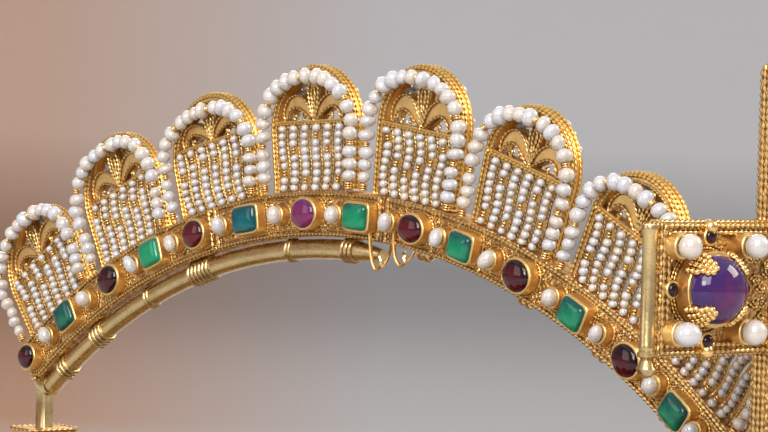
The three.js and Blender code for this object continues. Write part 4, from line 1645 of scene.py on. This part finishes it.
def build_hinges(scene):
    """The pins at the circlet's corners, each with knuckles and a knob at both ends."""
    metal = finishes(scene)["pale_gold"]
    knuckles = [(4.6 + 11.2 * k + rise, radius) for k in range(6) for rise, radius in KNUCKLE]
    for number, (x, y) in enumerate(CORNERS, 1):
        pin = Piece()
        pin.loft([lathe_ring(x, y + BACK, z, radius, 14) for z, radius in (*PIN_FOOT, *knuckles, *PIN_HEAD)])
        pin.finish(f"hinge_{number}", metal, "pale_gold", [f"hinge_pin_{number}"])


# ------------------------------------------------------------------- stage

# The place that every light points at, in metres.
LIT_PLACE = (0, 0, 0.16)
# The camera's yaw, pitch and roll in degrees, and its place in millimetres from the arch's middle.
CAMERA_TURN = (48, -1.74, 1.74)
CAMERA_PLACE = (-406.3, -460.8, 167.2)


def add_light(name, place, size, power, colour):
    """A soft rectangular light that the camera doesn't see."""
    lamp = bpy.data.lights.new(name, "AREA")
    lamp.shape = "RECTANGLE"
    lamp.size, lamp.size_y = size
    lamp.energy = power
    lamp.color = colour
    made = bpy.data.objects.new(name, lamp)
    made.visible_camera = False
    bpy.context.scene.collection.objects.link(made)
    made.location = place
    made.rotation_mode = "QUATERNION"
    made.rotation_quaternion = (Vector(LIT_PLACE) - Vector(place)).to_track_quat("-Z", "Y")


def add_camera(stage):
    """The camera at the left of the cross, level with the arch."""
    yaw, pitch, roll = map(math.radians, CAMERA_TURN)
    forward = Vector((math.cos(yaw) * math.cos(pitch), math.sin(yaw) * math.cos(pitch), math.sin(pitch)))
    right = forward.cross(Vector((0, 0, 1))).normalized()
    up = right.cross(forward)
    c, s = math.cos(roll), math.sin(roll)
    x_axis, y_axis = right * c + up * s, up * c - right * s
    data = bpy.data.cameras.new("camera")
    data.lens = stage.lens
    data.sensor_width = 36
    data.clip_start, data.clip_end = 0.01, 30
    camera = bpy.data.objects.new("camera", data)
    bpy.context.scene.collection.objects.link(camera)
    turn = Matrix((x_axis, y_axis, -forward)).transposed().to_4x4()
    place = Vector((ARCH_MIDDLE + np.array(CAMERA_PLACE)) * MM)
    camera.matrix_world = Matrix.Translation(place) @ turn
    bpy.context.scene.camera = camera


# The bowl of floor and wall, in metres.
FLOOR_SIDES = 64
FLOOR_RADIUS, FLOOR_BEND, WALL_HEIGHT = 5.5, 1.6, 5.0
FLOOR_DROP = 0.0005
# The way the camera looks, along the floor.
AHEAD_X, AHEAD_Y = 0.669, 0.743
# Soft lights: name, place, size, power property and share of it, colour.
LIGHTS = (
    ("key", (-1.1, -0.95, 1.15), (1.1, 1.1), "key_power", 1.0, (1.0, 0.97, 0.93)),
    ("fill", (1.5, -0.9, 1.3), (0.9, 0.8), "fill_power", 2.4, (1.0, 0.9, 0.76)),
    ("back", (1.2, 1.6, 1.5), (1.2, 1.0), "fill_power", 1.0, (1.0, 0.95, 0.9)),
    ("left", (-1.9, 0.7, 0.8), (1.0, 1.2), "fill_power", 0.8, (1.0, 0.93, 0.86)),
    ("spark", (-1.25, -0.85, 0.75), (0.42, 0.42), "spark_power", 1.0, (0.97, 0.98, 1.0)),
)


def floor_material(stage):
    """A pale matt finish: warm at the left of the wall that the camera sees, and with painted shade low on
    it, darkest on the floor far ahead.
    """
    made, nodes = new_material("pale_floor")
    place = nodes.add("ShaderNodeTexCoord", output="Object")
    cloud = nodes.noise(place, 0.6, 2)
    x = nodes.add("ShaderNodeSeparateXYZ", {}, {"Vector": place})
    y, z = x.other("Y"), x.other("Z")
    ahead = x * AHEAD_X + y * AHEAD_Y + 0.61
    depth = nodes.add("ShaderNodeMath", {"operation": "MAXIMUM"}, {0: ahead, 1: 1.2})
    slant = (x * AHEAD_Y - y * AHEAD_X) / depth
    far = nodes.clamp(ahead - 1.2)
    warmth = far * nodes.clamp((0.5 - cloud) * 0.2 - slant * 9.5)
    high = nodes.blend(warmth, stage.floor, stage.floor_warm)
    # Painted shade: the low floor is darker than the wall, and darker still far ahead.
    deep, deep_warm = (tuple(0.62 * v ** 1.5 for v in colour) for colour in (stage.floor, stage.floor_warm))
    low = nodes.blend(far, tuple(0.8 * v for v in stage.floor), nodes.blend(warmth, deep, deep_warm))
    close_material(nodes, {
        "Base Color": nodes.blend(z * 6.0, low, high),
        "Roughness": 0.9,
        "Specular IOR Level": 0.1,
    })
    return made


def add_floor(scene):
    """A pale round floor that curves up into a wall."""
    flat = FLOOR_RADIUS - FLOOR_BEND
    profile = [(0.01, 0.0), (1.2, 0.0), (2.6, 0.0), (flat, 0.0)]
    for t in np.linspace(10, 90, 9):
        a = math.radians(t)
        profile.append((flat + FLOOR_BEND * math.sin(a), FLOOR_BEND - FLOOR_BEND * math.cos(a)))
    profile.append((FLOOR_RADIUS, WALL_HEIGHT))
    n = FLOOR_SIDES
    turns = np.linspace(0, 2 * math.pi, n, endpoint=False)
    points = [(r * math.cos(t), r * math.sin(t), z - FLOOR_DROP) for r, z in profile for t in turns]
    faces = [tuple(reversed(range(n)))]
    for i in range(len(profile) - 1):
        a, b = i * n, (i + 1) * n
        faces += [(a + k, a + (k + 1) % n, b + (k + 1) % n, b + k) for k in range(n)]
    mesh = bpy.data.meshes.new("floor_bowl")
    mesh.from_pydata(points, [], faces)
    mesh.shade_smooth()
    mesh.materials.append(floor_material(scene.crown_stage))
    bowl = bpy.data.objects.new("floor_bowl", mesh)
    scene.collection.objects.link(bowl)


def build_stage(scene):
    """Floor, soft lights and camera."""
    stage = scene.crown_stage
    add_floor(scene)
    for name, place, size, power, share, colour in LIGHTS:
        add_light(name, place, size, getattr(stage, power) * share, colour)
    world = bpy.data.worlds.new("studio")
    world.use_nodes = True
    sky = world.node_tree.nodes["Background"].inputs
    sky["Color"].default_value = (0.78, 0.79, 0.82, 1)
    sky["Strength"].default_value = 0.97
    scene.world = world
    scene.view_settings.view_transform = "Standard"
    add_camera(stage)


# --------------------------------------------------------------- operators


class CROWN_OT_stage(bpy.types.Operator):
    """Make the pale floor, the soft lights and the camera"""

    bl_idname = "crown.stage"
    bl_label = "Stage"

    def execute(self, context):
        build_stage(context.scene)
        return {"FINISHED"}


class CROWN_OT_band(bpy.types.Operator):
    """Make the band's sheets, edge wires and filigree"""

    bl_idname = "crown.band"
    bl_label = "Band"

    def execute(self, context):
        build_band(context.scene)
        return {"FINISHED"}


class CROWN_OT_band_stones(bpy.types.Operator):
    """Make the collets, stones and pearls of the band"""

    bl_idname = "crown.band_stones"
    bl_label = "Band stones"

    def execute(self, context):
        build_band_stones(context.scene)
        return {"FINISHED"}


class CROWN_OT_lunettes(bpy.types.Operator):
    """Make the eight openwork lunettes"""

    bl_idname = "crown.lunettes"
    bl_label = "Lunettes"

    def execute(self, context):
        build_lunettes(context.scene)
        return {"FINISHED"}


class CROWN_OT_strings(bpy.types.Operator):
    """String the pearls and ribbed beads on the lunettes"""

    bl_idname = "crown.strings"
    bl_label = "Pearl strings"

    def execute(self, context):
        build_strings(context.scene)
        return {"FINISHED"}


class CROWN_OT_rod(bpy.types.Operator):
    """Make the bow rod and its rings"""

    bl_idname = "crown.rod"
    bl_label = "Bow rod"

    def execute(self, context):
        build_rod(context.scene)
        return {"FINISHED"}


class CROWN_OT_sockets(bpy.types.Operator):
    """Make the posts, the moulded sockets and the cross's block"""

    bl_idname = "crown.sockets"
    bl_label = "Sockets"

    def execute(self, context):
        build_sockets(context.scene)
        return {"FINISHED"}


class CROWN_OT_lugs(bpy.types.Operator):
    """Make the loops and the wire hooks below the band"""

    bl_idname = "crown.lugs"
    bl_label = "Lugs and hooks"

    def execute(self, context):
        build_lugs(context.scene)
        return {"FINISHED"}


class CROWN_OT_cross(bpy.types.Operator):
    """Make the standing cross"""

    bl_idname = "crown.cross"
    bl_label = "Cross"

    def execute(self, context):
        build_cross(context.scene)
        return {"FINISHED"}


class CROWN_OT_plates(bpy.types.Operator):
    """Make the eight jewelled plates"""

    bl_idname = "crown.plates"
    bl_label = "Plates"

    def execute(self, context):
        build_plates(context.scene)
        return {"FINISHED"}


class CROWN_OT_hinges(bpy.types.Operator):
    """Make the hinge pins between the plates"""

    bl_idname = "crown.hinges"
    bl_label = "Hinges"

    def execute(self, context):
        build_hinges(context.scene)
        return {"FINISHED"}


OPERATORS = (
    CROWN_OT_stage,
    CROWN_OT_band,
    CROWN_OT_band_stones,
    CROWN_OT_lunettes,
    CROWN_OT_strings,
    CROWN_OT_rod,
    CROWN_OT_sockets,
    CROWN_OT_lugs,
    CROWN_OT_cross,
    CROWN_OT_plates,
    CROWN_OT_hinges,
)


class CROWN_PT_panel(bpy.types.Panel):
    """Lists the crown's pieces in the order they are made"""

    bl_idname = "CROWN_PT_panel"
    bl_label = "Arched crown"
    bl_space_type = "VIEW_3D"
    bl_region_type = "UI"
    bl_category = "Crown"

    def draw(self, context):
        for group in (context.scene.crown_sizes, context.scene.crown_colours, context.scene.crown_stage):
            for name in group.__annotations__:
                self.layout.prop(group, name)
        for operator in OPERATORS:
            self.layout.operator(operator.bl_idname)


GROUPS = {"crown_sizes": CrownSizes, "crown_colours": CrownColours, "crown_stage": CrownStage}


def register():
    """Makes the crown's settings, operators and panel known to Blender."""
    for made in (*GROUPS.values(), *OPERATORS, CROWN_PT_panel):
        bpy.utils.register_class(made)
    for name, group in GROUPS.items():
        setattr(bpy.types.Scene, name, bpy.props.PointerProperty(type=group))


def unregister():
    """Takes them away again."""
    for name in GROUPS:
        delattr(bpy.types.Scene, name)
    for made in reversed((*GROUPS.values(), *OPERATORS, CROWN_PT_panel)):
        bpy.utils.unregister_class(made)


def main():
    register()
    for operator in OPERATORS:
        module, name = operator.bl_idname.split(".")
        getattr(getattr(bpy.ops, module), name)()


if __name__ == "__main__":
    main()
